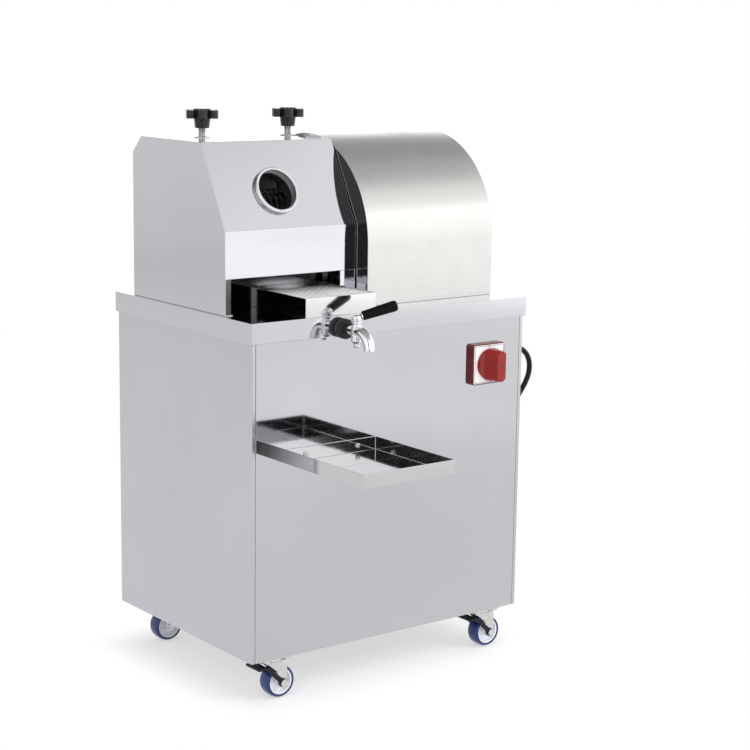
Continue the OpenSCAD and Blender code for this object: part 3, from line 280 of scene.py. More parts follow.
def paint(name, colour, rough):
    """Sprayed paint on a casting, with orange peel and dust."""
    material, tree, shader = new_material(name, {})
    peel = noise(tree, scale=260.0, detail=3.0)
    dust = noise(tree, scale=18.0, detail=4.0)
    mottle(tree, shader, dust, colour, darkest=0.8)
    gloss(tree, shader, dust, rough, least=0.9, most=1.3)
    relief(tree, shader, peel, strength=0.2, distance=PAINT_RELIEF)
    return material


# Stretch of the rolled lines: level on upright sheets, or along the width
ALONG_LEVEL = (5, 5, 1300)
ALONG_X = (5, 1300, 1300)
STEEL = (0.62, 0.615, 0.645)
# A surface this close to the place of a wall counts as that wall
WALL_NEAR = 0.2 * MM


def inlet_mount():
    """The record's mount at the bore of the feed collar."""
    return next(m for m in frame["record"]["mounts"] if m["name"] == "cane_inlet_bore")


def make_materials():
    inlet = inlet_mount()
    bore = inlet["dims"]["r_mm"] * MM + WALL_NEAR
    arch_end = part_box("drive_cover")[0][0] + WALL_NEAR
    return {
        "front": sheet_steel("front_sheet", shade(STEEL, 0.97), rough=0.05, grain=ALONG_LEVEL, depth=0.03),
        "side": sheet_steel("side_sheet", shade(STEEL, 0.97), rough=0.16, grain=ALONG_LEVEL),
        "top": sheet_steel("top_sheet", shade(STEEL, 1.02), rough=0.06, grain=ALONG_X, depth=0.04),
        "head": sheet_steel("head_sheet", STEEL, rough=0.05, grain=ALONG_LEVEL, depth=0.03),
        "arch": polished_end(
            sheet_steel("arch_sheet", (0.64, 0.635, 0.62), rough=0.2, grain=ALONG_X, depth=0.1),
            arch_end, STEEL, rough=0.05),
        "tray": sheet_steel("tray_sheet", (0.62, 0.62, 0.63), rough=0.07, grain=ALONG_X),
        "strainer": sheet_steel("strainer_sheet", (0.8, 0.8, 0.81), rough=0.5, grain=ALONG_X, metallic=0.5),
        "base": sheet_steel("base_sheet", (0.5, 0.5, 0.52), rough=0.35, grain=ALONG_X),
        "juice": sheet_steel("juice_tray_sheet", (0.74, 0.74, 0.75), rough=0.08, grain=ALONG_X),
        "chrome": chrome("chrome", (0.9, 0.9, 0.92), rough=0.05),
        # The collar's bore wall is darkened with painted shade
        "collar": shade_and_dull_inside(chrome("collar_chrome", (0.74, 0.74, 0.77), rough=0.09),
                              inlet["pos_m"], inlet["axis"], bore),
        "zinc": plated_steel("zinc_plate", (0.74, 0.74, 0.72), rough=0.3),
        "turned": turned_steel("turned_steel", (0.66, 0.66, 0.68), rough=0.22),
        "plate": plated_steel("machined_plate", (0.36, 0.36, 0.38), rough=0.36),
        "gear": plated_steel("gear_steel", (0.36, 0.36, 0.38), rough=0.3),
        "bronze": plated_steel("bearing_bronze", (0.72, 0.5, 0.24), rough=0.3),
        "frame": paint("frame_paint", (0.36, 0.37, 0.39), rough=0.45),
        "cast": paint("gearbox_paint", (0.2, 0.28, 0.36), rough=0.45),
        "motor": paint("motor_paint", (0.14, 0.19, 0.2), rough=0.5),
        "knob": plastic("knob_plastic", (0.008, 0.008, 0.009), rough=0.24, coat=0.25, specular=0.3),
        "union": plastic("union_plastic", (0.012, 0.009, 0.008), rough=0.34, grain=600.0, depth=0.08,
                         specular=0.3),
        "grip": plastic("grip_plastic", (0.003, 0.003, 0.0035), rough=0.36, grain=500.0, depth=0.1,
                        specular=0.1),
        "brake": plastic("brake_plastic", (0.01, 0.01, 0.013), rough=0.4, specular=0.25),
        "red": plastic("red_plastic", (0.24, 0.006, 0.006), rough=0.24, coat=0.25, specular=0.35),
        "box": plastic("switch_box_plastic", (0.1, 0.006, 0.01), rough=0.34, coat=0.1),
        "white": plastic("face_plate", (0.86, 0.82, 0.82), rough=0.3),
        "core": plastic("wheel_nylon", (0.82, 0.84, 0.88), rough=0.32),
        "tread": plastic("blue_tread", (0.007, 0.026, 0.15), rough=0.2, coat=0.4, grain=420.0, depth=0.08,
                         specular=0.3),
        "ink": plastic("mark_ink", (0.03, 0.028, 0.03), rough=0.5),
        "cord": plastic("cord_rubber", (0.007, 0.007, 0.008), rough=0.42, grain=900.0, depth=0.1,
                        specular=0.2),
    }


# Pieces

# Directions out of the front and out of the back
FORWARDS = (0, -1, 0)
BACKWARDS = (0, 1, 0)


def link_object(name, data):
    made = bpy.data.objects.new(name, data)
    bpy.context.scene.collection.objects.link(made)
    return made


def turned(profile, segments, closed=False):
    """Shape turned round Z from points of radius and height. A point on the axis closes an end."""
    work = bmesh.new()
    rings = []
    for radius, height in profile:
        count = segments if radius else 1
        angles = [2 * math.pi * i / count for i in range(count)]
        rings.append([work.verts.new((radius * math.cos(a), radius * math.sin(a), height)) for a in angles])
    pairs = list(zip(rings, rings[1:]))
    if closed:
        pairs.append((rings[-1], rings[0]))
    for low, high in pairs:
        for i in range(segments):
            corners = [low[i % len(low)], low[(i + 1) % segments % len(low)],
                       high[(i + 1) % segments % len(high)], high[i % len(high)]]
            work.faces.new(list(dict.fromkeys(corners)))
    return work


def block(work, low, high):
    """Adds a box with the given corners."""
    size = [b - a for a, b in zip(low, high)]
    middle = [(a + b) / 2 for a, b in zip(low, high)]
    bmesh.ops.create_cube(work, size=1, matrix=Matrix.Translation(middle) @ Matrix.Diagonal((*size, 1)))


def middle_of(node):
    """Middle of a node's box at rest."""
    low, high = (Vector(corner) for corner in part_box(node))
    return (low + high) / 2


def facing(at, axis):
    """Matrix that takes Z to an axis and the origin to a place."""
    return Matrix.Translation(at) @ Vector(axis).to_track_quat("Z", "Y").to_matrix().to_4x4()


def join(target, part, matrix):
    """Adds a copy of a part to a target at a matrix."""
    mesh = bpy.data.meshes.new("part")
    part.to_mesh(mesh)
    mesh.transform(matrix)
    target.from_mesh(mesh)
    bpy.data.meshes.remove(mesh)


def carve(base, cutter):
    """Takes a cutter away from a base."""
    pair = []
    for name, work in (("base", base), ("cutter", cutter)):
        mesh = bpy.data.meshes.new(name)
        work.to_mesh(mesh)
        pair.append(link_object(name, mesh))
    cut = pair[0].modifiers.new("cut", "BOOLEAN")
    cut.operation = "DIFFERENCE"
    cut.solver = "EXACT"
    cut.object = pair[1]
    carved = pair[0].evaluated_get(bpy.context.evaluated_depsgraph_get())
    result = bmesh.new()
    result.from_mesh(carved.to_mesh())
    for made in pair:
        bpy.data.objects.remove(made)
    return result


# Least angle in degrees of an edge that stays crisp, on new pieces and on CAD nodes
SHARP = 40
FOLD = 20
# Segments of an eased edge of a new piece
EASE_SEGMENTS = 2


def ease_edges(made, width, segments, angle):
    """Bevels the edges that fold by more than an angle in degrees."""
    ease = made.modifiers.new("ease", "BEVEL")
    ease.width = width
    ease.segments = segments
    ease.limit_method = "ANGLE"
    ease.angle_limit = math.radians(angle)
    return ease


def piece(name, work, material, body, bevel=0):
    """Makes an object of a mesh, with smooth faces and sharp edges, and rides it on a body."""
    bmesh.ops.recalc_face_normals(work, faces=work.faces)
    mesh = bpy.data.meshes.new(name)
    work.to_mesh(mesh)
    work.free()
    mesh.shade_smooth()
    mesh.set_sharp_from_angle(angle=math.radians(SHARP))
    mesh.materials.append(material)
    made = link_object(name, mesh)
    if bevel:
        ease_edges(made, bevel, EASE_SEGMENTS, SHARP)
    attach(made, body)
    return made


# Finish of the CAD nodes

# Width and segments of the eased edges of plain pieces, folded sheet, star knobs and the switch handle
PLAIN_EDGE = (0.4 * MM, 2)
FOLDED_EDGE = (0.65 * MM, 3)
STAR_EDGE = (2.2 * MM, 4)
HANDLE_EDGE = (1.6 * MM, 3)
# A bevel wider than this is held back where edges crowd
WIDE_BEVEL = 1 * MM
# Points closer than this are joined, and faces that differ by less than this angle in degrees too
JOIN_POINTS = 0.002 * MM
JOIN_FACES = 0.5
# Weight at which the largest face leads the shading of a corner
LARGE_FACES_LEAD = 100


def dress(node, material, edge):
    """Gives a CAD node its finish, and eased edges where an edge is given."""
    made = frame["nodes"][node]
    made.data.materials.clear()
    made.data.materials.append(material)
    weld = made.modifiers.new("weld", "WELD")
    weld.merge_threshold = JOIN_POINTS
    flat = made.modifiers.new("flat", "DECIMATE")
    flat.decimate_type = "DISSOLVE"
    flat.angle_limit = math.radians(JOIN_FACES)
    if edge:
        width, segments = edge
        ease = ease_edges(made, width, segments, FOLD)
        ease.use_clamp_overlap = width > WIDE_BEVEL
        ease.loop_slide = False
    normals = made.modifiers.new("normals", "WEIGHTED_NORMAL")
    normals.weight = LARGE_FACES_LEAD


# Nodes by their finish
DRESSES = {
    "front": ["front_panel"],
    "side": ["left_panel", "right_panel", "rear_panel"],
    "top": ["worktop"],
    "head": ["head_cover"],
    "arch": ["drive_cover"],
    "juice": ["juice_tray"],
    "tray": ["drip_tray"],
    "strainer": ["strainer_plate"],
    "base": ["base_plate"],
    "collar": ["feed_collar"],
    "chrome": ["tap_body", "tap_lever"],
    "zinc": ["frame_bolts", "caster_plates", "screw_washers", "stand_tie_rods", "outlet_elbow", "tap_nut"],
    "turned": ["upper_roller", "front_roller", "rear_roller"],
    "plate": ["stand_left_plate", "stand_right_plate"],
    "gear": ["upper_gear", "front_gear", "rear_gear"],
    "bronze": ["lower_bushes", "upper_blocks"],
    "frame": ["base_frame"],
    "cast": ["gearbox_housing"],
    "motor": ["motor_body"],
    "knob": ["cable_gland", "plug_body"],
    "grip": ["tap_grip"],
    "brake": ["brake_fl", "brake_fr"],
    "box": ["switch_base"],
    "white": ["switch_plate"],
}
# Finishes of folded sheet, and of pieces whose edges are round in the solid already
FOLDED = ["front", "side", "top", "head", "arch", "juice", "tray"]
ROUNDED = ["collar"]
CORNERS = ["fl", "fr", "bl", "br"]
SIDES = ["left", "right"]


def dress_all(finish):
    for key, nodes in DRESSES.items():
        if key in FOLDED:
            edge = FOLDED_EDGE
        elif key in ROUNDED:
            edge = None
        else:
            edge = PLAIN_EDGE
        for node in nodes:
            dress(node, finish[key], edge)
    for side in SIDES:
        dress(side + "_knob", finish["knob"], STAR_EDGE)
    dress("switch_knob", finish["red"], HANDLE_EDGE)
    for corner in CORNERS:
        dress("caster_" + corner + "_fork", finish["zinc"], PLAIN_EDGE)
        dress("caster_" + corner + "_core", finish["core"], PLAIN_EDGE)
        dress("caster_" + corner + "_tyre", finish["tread"], PLAIN_EDGE)


# Power cord: the route of the solid, then the coil behind the cabinet

CORD_D = 9 * MM
# The route, the coil and the height of the cord's middle where it lies, in millimetres
LIE = 4.8
CORD_ROUTE = [(290.5, -45, 500), (299.5, -45, 500), (317, -45, 496), (330, -45, 485), (336, -45, 470),
              (335, -45, 453), (328, -44, 436), (318, -42, 420), (308, -38, 402), (301, -32, 380),
              (297, -22, 352), (294, -8, 318), (292, 10, 281), (291, 28, 239), (290, 46, 195),
              (290, 63, 151), (291, 80, 108), (293, 96, 70), (295, 113, 40), (297, 133, 18),
              (299, 156, 7), (300, 181, LIE), (300, 206, LIE), (300, 231, LIE), (300, 256, LIE),
              (300, 281, LIE), (299, 306, LIE), (296, 331, LIE), (289, 355, LIE), (277, 377, LIE),
              (261, 396, LIE), (241, 411, LIE), (218, 422, LIE), (193, 428, LIE), (172, 430, LIE),
              (160, 430, LIE)]
COIL_AT = (151, 372)
COIL_R = 58
COIL_STEP = 9.8
COIL_TURNS = 1.5
CLIMB_TURNS = 0.5
COIL_TOTAL = 2 * COIL_TURNS + CLIMB_TURNS
COIL_RINGS = 24
TAIL_RUN = 40
# Steps of the smooth curve between two points of the route, and of a quarter of the cord's outline
ROUTE_STEPS = 4
OUTLINE_STEPS = 5


def coil_point(turn):
    """Point of the coil, which winds inwards, climbs a layer and winds outwards again."""
    wound = min(turn, COIL_TOTAL - turn)
    climb = min(max((turn - COIL_TURNS) / CLIMB_TURNS, 0), 1)
    radius = COIL_R - COIL_STEP * wound
    angle = math.pi / 2 + 2 * math.pi * turn
    return (COIL_AT[0] + radius * math.cos(angle), COIL_AT[1] + radius * math.sin(angle),
            LIE + COIL_STEP * climb)


def eased(points):
    """More points on a smooth curve through the given ones."""
    made = []
    for i in range(len(points) - 1):
        before = points[max(i - 1, 0)]
        one = points[i]
        two = points[i + 1]
        after = points[min(i + 2, len(points) - 1)]
        for step in range(ROUTE_STEPS):
            t = step / ROUTE_STEPS
            made.append((2 * one + (two - before) * t + (2 * before - 5 * one + 4 * two - after) * t ** 2
                         + (3 * one - before - 3 * two + after) * t ** 3) / 2)
    return made + points[-1:]


def make_cord(finish):
    turns = [coil_point(i / COIL_RINGS) for i in range(int(COIL_TOTAL * COIL_RINGS) + 1)]
    last = turns[-1]
    tail = [(last[0] + TAIL_RUN * share, last[1], last[2]) for share in (0.5, 1)]
    route = eased([Vector(p) * MM for p in CORD_ROUTE])
    points = route + [Vector(p) * MM for p in turns + tail]
    data = bpy.data.curves.new("power_lead", "CURVE")
    data.dimensions = "3D"
    data.bevel_depth = CORD_D / 2
    data.bevel_resolution = OUTLINE_STEPS
    data.use_fill_caps = True
    spline = data.splines.new("POLY")
    spline.points.add(len(points) - 1)
    for target, point in zip(spline.points, points):
        target.co = (*point, 1)
    data.materials.append(finish["cord"])
    lead = link_object("power_lead", data)
    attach(lead, "cabinet")
    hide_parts("power_cord", "cord_coil")


# Threads of the pressure screws

THREAD_PITCH = 1.75 * MM
THREAD_DEPTH = 0.8 * MM
ROWS_PER_TURN = 4
THREAD_SIDES = 24


def make_threads(finish):
    for side in SIDES:
        low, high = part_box(side + "_screw")
        radius = (high[0] - low[0]) / 2
        centre = Vector(((low[0] + high[0]) / 2, (low[1] + high[1]) / 2, low[2]))
        rise = THREAD_PITCH / ROWS_PER_TURN
        rows = int((high[2] - low[2]) / rise)
        work = bmesh.new()
        rings = []
        for row in range(rows + 1):
            ring = []
            for i in range(THREAD_SIDES):
                phase = (row / ROWS_PER_TURN - i / THREAD_SIDES) % 1
                reach = radius - THREAD_DEPTH * abs(2 * phase - 1)
                angle = 2 * math.pi * i / THREAD_SIDES
                spoke = Vector((reach * math.cos(angle), reach * math.sin(angle), row * rise))
                ring.append(work.verts.new(centre + spoke))
            rings.append(ring)
        for below, above in zip(rings, rings[1:]):
            for i in range(THREAD_SIDES):
                j = (i + 1) % THREAD_SIDES
                work.faces.new((below[i], below[j], above[j], above[i]))
        work.faces.new(rings[0])
        work.faces.new(rings[-1])
        rod = piece(side + "_thread", work, finish["zinc"], side + "_knob")
        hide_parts(side + "_screw")


# Cross-head screws of the panels and the drip tray

SCREW_R = 2 * MM
SCREW_HEAD_R = 4 * MM
SCREW_HEAD_H = 2.4 * MM
SCREW_LENGTH = 8 * MM
CROSS_HALF = 2.3 * MM
CROSS_W = 0.5 * MM
CROSS_DEEP = 1.2 * MM
SCREW_SIDES = 32
# Round head: radius and height as shares of the head's
HEAD_SHARES = [(1, 0), (1, 0.3), (0.93, 0.62), (0.74, 0.86), (0.4, 0.98), (0, 1)]
# Points of a node's mesh closer than this are one
ONE_POINT = 0.01 * MM


def cross_screw():
    """Pan head on a shank that runs down the Z axis from the seat."""
    shank = [(0, -SCREW_LENGTH), (SCREW_R, -SCREW_LENGTH), (SCREW_R, 0)]
    head = [(r * SCREW_HEAD_R, h * SCREW_HEAD_H) for r, h in HEAD_SHARES]
    cutter = bmesh.new()
    low = SCREW_HEAD_H - CROSS_DEEP
    high = SCREW_HEAD_H + CROSS_DEEP
    block(cutter, (-CROSS_HALF, -CROSS_W, low), (CROSS_HALF, CROSS_W, high))
    upright = bmesh.new()
    block(upright, (-CROSS_W, -CROSS_HALF, low), (CROSS_W, CROSS_HALF, high))
    return carve(carve(turned(shank + head, SCREW_SIDES), cutter), upright)


def solids(node):
    """Lowest and highest corner of each separate solid of a node."""
    work = bmesh.new()
    work.from_mesh(frame["nodes"][node].data)
    bmesh.ops.remove_doubles(work, verts=work.verts, dist=ONE_POINT)
    left = set(work.verts)
    boxes = []
    while left:
        found = [left.pop()]
        for vert in found:
            for edge in vert.link_edges:
                other = edge.other_vert(vert)
                if other in left:
                    left.discard(other)
                    found.append(other)
        corners = list(zip(*(vert.co for vert in found)))
        boxes.append(([min(c) for c in corners], [max(c) for c in corners]))
    work.free()
    return sorted(boxes)


def make_screws(finish):
    screw = cross_screw()
    work = bmesh.new()
    for low, high in solids("panel_screws"):
        middle = [(a + b) / 2 for a, b in zip(low, high)]
        if middle[1] < 0:
            seat = Vector((middle[0], low[1] + SCREW_HEAD_H, middle[2]))
            join(work, screw, facing(seat, FORWARDS))
        else:
            seat = Vector((middle[0], high[1] - SCREW_HEAD_H, middle[2]))
            join(work, screw, facing(seat, BACKWARDS))
    screws = piece("cross_screws", work, finish["zinc"], "cabinet")
    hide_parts("panel_screws")


# Marks of the switch

MARK_PROUD = 0.12 * MM
BORDER_IN = 1.2 * MM
BORDER_W = 0.7 * MM
TICK_R = (26.2 * MM, 28.4 * MM)
TICK_W = 0.8 * MM
NUMERAL_R = 30.2 * MM
# The numeral at the top stands this much nearer to the middle
TOP_NUMERAL_IN = 1.1 * MM
NUMERAL_SIZE = 4.6 * MM
# Angle in degrees and numeral of each place of the handle
STOPS = [(-60, "1"), (0, "0"), (60, "2")]
# Sunk screw of the handle: radius and height
HANDLE_SCREW = [(2.9 * MM, 0), (2.9 * MM, 0.2 * MM), (2.4 * MM, 0.45 * MM), (1.5 * MM, 0.25 * MM),
                (0, 0.2 * MM)]
HANDLE_SCREW_SIDES = 24


def make_switch_border(finish):
    """Frame line and ticks on the face plate."""
    low, high = (Vector(corner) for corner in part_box("switch_plate"))
    centre = middle_of("switch_plate")
    front = low.y
    work = bmesh.new()
    x0, x1 = low.x + BORDER_IN, high.x - BORDER_IN
    z0, z1 = low.z + BORDER_IN, high.z - BORDER_IN
    for lower, upper in (((x0, z0), (x1, z0 + BORDER_W)), ((x0, z1 - BORDER_W), (x1, z1)),
                         ((x0, z0), (x0 + BORDER_W, z1)), ((x1 - BORDER_W, z0), (x1, z1))):
        block(work, (lower[0], front - MARK_PROUD, lower[1]), (upper[0], front + MARK_PROUD, upper[1]))
    tick = bmesh.new()
    block(tick, (-TICK_W / 2, -MARK_PROUD, TICK_R[0]), (TICK_W / 2, MARK_PROUD, TICK_R[1]))
    for angle, _ in STOPS:
        turn = Matrix.Rotation(math.radians(angle), 4, "Y")
        join(work, tick, Matrix.Translation((centre.x, front, centre.z)) @ turn)
    piece("switch_border", work, finish["ink"], "cabinet")


def make_switch_numerals(finish):
    centre = middle_of("switch_plate")
    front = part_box("switch_plate")[0][1]
    for angle, digit in STOPS:
        data = bpy.data.curves.new("switch_mark_" + digit, "FONT")
        data.body = digit
        data.size = NUMERAL_SIZE
        data.align_x = "CENTER"
        data.align_y = "CENTER"
        data.extrude = MARK_PROUD
        data.materials.append(finish["ink"])
        mark = link_object("switch_mark_" + digit, data)
        around = math.radians(angle)
        reach = NUMERAL_R if angle else NUMERAL_R - TOP_NUMERAL_IN
        mark.location = (centre.x + reach * math.sin(around), front, centre.z + reach * math.cos(around))
        mark.rotation_euler = (math.pi / 2, 0, 0)
        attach(mark, "cabinet")


def make_handle_screw(finish):
    centre = middle_of("switch_plate")
    tip = Vector((centre.x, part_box("switch_knob")[0][1], centre.z))
    work = bmesh.new()
    join(work, turned(HANDLE_SCREW, HANDLE_SCREW_SIDES), facing(tip, FORWARDS))
    piece("handle_screw", work, finish["box"], "switch_knob")


def hide_switch_from_mirrors():
    """Keeps the switch out of the images that polished metal shows."""
    for made in bpy.context.scene.objects:
        if made.name.startswith(("switch_", "handle_screw")):
            made.visible_glossy = False


# Rolled ridges of the feed collar

RIDGE_R = 0.55 * MM
# Heights of the ridges from the rim
RIDGES = [-2.2 * MM, -4.2 * MM]
COLLAR_WALL = 3 * MM
RIDGE_POINTS = 8
RIDGE_SIDES = 72


def make_collar_ridges(finish):
    inlet = inlet_mount()
    axis = Vector(inlet["axis"])
    rim = Vector(inlet["pos_m"]) + axis * inlet["dims"]["length_mm"] / 2 * MM
    reach = inlet["dims"]["r_mm"] * MM + COLLAR_WALL
    angles = [2 * math.pi * i / RIDGE_POINTS for i in range(RIDGE_POINTS)]
    work = bmesh.new()
    for drop in RIDGES:
        outline = [(reach + RIDGE_R * math.cos(a), drop + RIDGE_R * math.sin(a)) for a in angles]
        join(work, turned(outline, RIDGE_SIDES, closed=True), facing(rim, axis))
    piece("collar_ridges", work, finish["chrome"], "cabinet")


# Flange at the right of the mouth, which leaves room for the juice tray

FLANGE_W = 29 * MM
FLANGE_T = 1.5 * MM
FLANGE_TOP = 55 * MM
FLANGE_CLEAR = 0.8 * MM
FLANGE_EASE = 0.2 * MM


def make_flange(finish):
    head_low, head_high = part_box("head_cover")
    tray_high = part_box("juice_tray")[1]
    right = head_high[0] - FLANGE_T
    left = head_high[0] - FLANGE_W
    notch = tray_high[0] + FLANGE_CLEAR
    bottom = head_low[2]
    top = bottom + FLANGE_TOP
    step = tray_high[2] + FLANGE_CLEAR
    outline = [(left, top), (right, top), (right, bottom), (notch, bottom), (notch, step), (left, step)]
    work = bmesh.new()
    sides = [[work.verts.new((x, y, z)) for x, z in outline] for y in (head_low[1], head_low[1] + FLANGE_T)]
    for side in sides:
        work.faces.new(side)
    for i in range(len(outline)):
        j = (i + 1) % len(outline)
        work.faces.new((sides[0][i], sides[0][j], sides[1][j], sides[1][i]))
    piece("mouth_flange", work, finish["head"], "cabinet", FLANGE_EASE)


# Ribbed nut between the skirt and the tap

UNION_R = (8.2 * MM, 15.4 * MM)
UNION_LENGTH = 15 * MM
UNION_EDGE = 1.6 * MM
UNION_RIBS = 28
UNION_RIB_DEEP = 0.9 * MM
# Points of the outline for each rib, and the gap between the nut and the skirt
UNION_RIB_POINTS = 4
UNION_GAP = 0.1 * MM


def make_union(finish):
    axis = middle_of("tap_nut")
    seat = Vector((axis.x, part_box("worktop")[0][1] - UNION_GAP, axis.z))
    inner, outer = UNION_R
    profile = [(inner, 0), (outer - UNION_EDGE, 0), (outer, UNION_EDGE), (outer, UNION_LENGTH - UNION_EDGE),
               (outer - UNION_EDGE, UNION_LENGTH), (inner, UNION_LENGTH)]
    ring = turned(profile, UNION_RIB_POINTS * UNION_RIBS, closed=True)
    for vert in ring.verts:
        spoke = vert.co.xy
        if spoke.length > outer - UNION_EDGE / 2:
            turn = math.atan2(spoke.y, spoke.x) * UNION_RIBS
            vert.co.xy = spoke * (1 - UNION_RIB_DEEP / outer * (1 - math.cos(turn)) / 2)
    work = bmesh.new()
    join(work, ring, facing(seat, FORWARDS))
    piece("tap_union", work, finish["union"], "cabinet")


# Tie of the cord's coil

TIE_W = 9 * MM
TIE_T = 1.2 * MM
TIE_R = 4 * MM
# Least heights of the strap's outer and inner face, and its slack round the cord
TIE_UNDER = 0.05 * MM
TIE_UNDER_INSIDE = 0.2 * MM
TIE_SLACK = 0.1 * MM
# Where the strap lies along the coil, in turns
TIE_TURN = 0.25
TIE_POINTS = 6


def make_tie(finish):
    """Strap round the four turns that lie together a quarter turn into the coil."""
    inner = Vector(coil_point(1 + TIE_TURN)) * MM
    outer = Vector(coil_point(TIE_TURN)) * MM
    top = Vector(coil_point(2 + TIE_TURN)).z * MM
    centre = Vector((*COIL_AT, 0)) * MM
    radial = outer - centre
    radial.z = 0
    radial.normalize()
    along = Vector((-radial.y, radial.x, 0))
    half_cord = CORD_D / 2 + TIE_SLACK
    r0 = (inner - centre).xy.length - half_cord
    r1 = (outer - centre).xy.length + half_cord
    z1 = top + half_cord
    inside = []
    outside = []
    corners = [(r1 - TIE_R, z1 - TIE_R, 0), (r0 + TIE_R, z1 - TIE_R, 90),
               (r0 + TIE_R, TIE_R, 180), (r1 - TIE_R, TIE_R, 270)]
    for radius, height, start in corners:
        for i in range(TIE_POINTS + 1):
            angle = math.radians(start + 90 * i / TIE_POINTS)
            for ring, reach, least in ((inside, TIE_R, TIE_UNDER_INSIDE),
                                       (outside, TIE_R + TIE_T, TIE_UNDER)):
                level = max(height + reach * math.sin(angle), least)
                ring.append((radius + reach * math.cos(angle), level))
    work = bmesh.new()
    loops = []
    half = TIE_W / 2
    for points, shift in ((outside, -half), (outside, half), (inside, half), (inside, -half)):
        loops.append([work.verts.new(centre + radial * r + along * shift + Vector((0, 0, z)))
                      for r, z in points])
    for one, two in zip(loops, loops[1:] + loops[:1]):
        for i in range(len(one)):
            j = (i + 1) % len(one)
            work.faces.new((one[i], one[j], two[j], two[i]))
    piece("cord_tie", work, finish["brake"], "cabinet")


# Ribs of the brake pedals

RIB_H = 0.7 * MM
RIB_W = 1.4 * MM
RIB_STEP = 3.4 * MM
RIBS = 4
RIB_EASE = 0.3 * MM
PEDAL_EDGE = 2.4 * MM


def make_pedal_ribs(finish):
    for corner in ("fl", "fr"):
        low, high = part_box("brake_" + corner)
        work = bmesh.new()
        for i in range(RIBS):
            x = low[0] + PEDAL_EDGE + i * RIB_STEP
            block(work, (x, low[1] + PEDAL_EDGE, high[2] - RIB_H),
                  (x + RIB_W, high[1] - PEDAL_EDGE, high[2] + RIB_H))
        piece("pedal_ribs_" + corner, work, finish["brake"], "brake_" + corner, RIB_EASE)


# Floor, world and lamps

WHITE = (1, 1, 1, 1)
FLOOR_R = 6.0
FLOOR_SIDES = 96
FLOOR_COLOUR = (0.93, 0.93, 0.94, 1)
# The floor lies this far under the casters
FLOOR_DROP = 0.3 * MM
# Share of plain white under the cabinet, and how far past its edge the floor turns white
WHITE_UNDER = 0.5
FADE_OUT = 0.06
# How bright the floor looks in polished metal, by metres towards the room's bright side
MIRROR_LEVELS = [(-5, 0.78), (-3, 0.88), (-1.5, 0.89), (1, 0.91), (1.7, 0.96), (2.1, 1.06), (3.3, 1.03),
                 (3.9, 1.06), (4.6, 1.5)]
MIRROR_SPAN = (-6, 6)
# The room is brightest to the front right and dimmest to the back left
BRIGHT_SIDE = (0.75, -0.66, 0)


def levels(tree, value, span, table):
    """Strength read from a table of value and level, over a span of values."""
    share = add_node(tree, "ShaderNodeMapRange", {"Value": value, "From Min": span[0], "From Max": span[1]})
    ramp = add_node(tree, "ShaderNodeValToRGB", {"Fac": share.outputs["Result"]})
    stops = ramp.color_ramp.elements
    while len(stops) < len(table):
        stops.new(0.5)
    most = max(level for _, level in table)
    for stop, (at, level) in zip(stops, table):
        stop.position = (at - span[0]) / (span[1] - span[0])
        stop.color = (level / most, level / most, level / most, 1)
    return number_math(tree, "MULTIPLY", ramp.outputs["Color"], most)


def make_floor():
    mesh = bpy.data.meshes.new("floor")
    work = bmesh.new()
    bmesh.ops.create_circle(work, cap_ends=True, segments=FLOOR_SIDES, radius=FLOOR_R)
    work.to_mesh(mesh)
    work.free()
    floor = link_object("floor", mesh)
    floor.location = (0, 0, -FLOOR_DROP)
    material, tree = bare_material("pale_floor")
    low, high = (Vector(corner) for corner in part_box("base_plate"))
    coordinates = add_node(tree, "ShaderNodeTexCoord")
    shifted = vector_math(tree, "SUBTRACT", coordinates.outputs["Object"], (low + high) / 2)
    folded = add_node(tree, "ShaderNodeVectorMath", {0: shifted}, operation="ABSOLUTE")
    past = vector_math(tree, "SUBTRACT", folded.outputs[0], (high - low) / 2)
    outside = vector_math(tree, "MAXIMUM", past, (0, 0, 0))
    level = vector_math(tree, "MULTIPLY", outside, (1, 1, 0))
    away = add_node(tree, "ShaderNodeVectorMath", {0: level}, operation="LENGTH")
    fade = add_node(tree, "ShaderNodeMapRange",
                    {"Value": away.outputs["Value"], "From Min": 0, "From Max": FADE_OUT,
                     "To Min": WHITE_UNDER}, interpolation_type="SMOOTHSTEP")
    sideways = add_node(tree, "ShaderNodeVectorMath", {0: coordinates.outputs["Object"], 1: BRIGHT_SIDE},
                        operation="DOT_PRODUCT")
    mirrored = levels(tree, sideways.outputs["Value"], MIRROR_SPAN, MIRROR_LEVELS)
    path = add_node(tree, "ShaderNodeLightPath").outputs
    strength = number_math(tree, "MAXIMUM", path["Is Camera Ray"], mirrored)
    seen = number_math(tree, "MAXIMUM", path["Is Camera Ray"], path["Is Glossy Ray"])
    clear = number_math(tree, "MAXIMUM", seen, path["Is Transmission Ray"])
    share = number_math(tree, "MULTIPLY", clear, fade.outputs["Result"])
    matt = add_node(tree, "ShaderNodeBsdfDiffuse", {"Color": FLOOR_COLOUR})
    glow = add_node(tree, "ShaderNodeEmission", {"Color": WHITE, "Strength": strength})
    mix = add_node(tree, "ShaderNodeMixShader", {0: share, 1: matt.outputs[0], 2: glow.outputs[0]})
    add_node(tree, "ShaderNodeOutputMaterial", {"Surface": mix.outputs[0]})
    mesh.materials.append(material)


# Light of the room by height above the horizon: sine of the height, strength
ROOM_BY_HEIGHT = [(-0.2, 1.35), (0, 1.5), (0.28, 1.62), (0.36, 1.75), (0.45, 1.3), (0.53, 1.2),
                  (0.62, 1.13), (0.7, 0.78), (0.8, 0.52), (1, 0.36)]
# Behind the object the bright band lies this much lower
LOWER_BEHIND = 0.8
# Share of the light that is left on the dim side
DIM_SHARE = 0.6


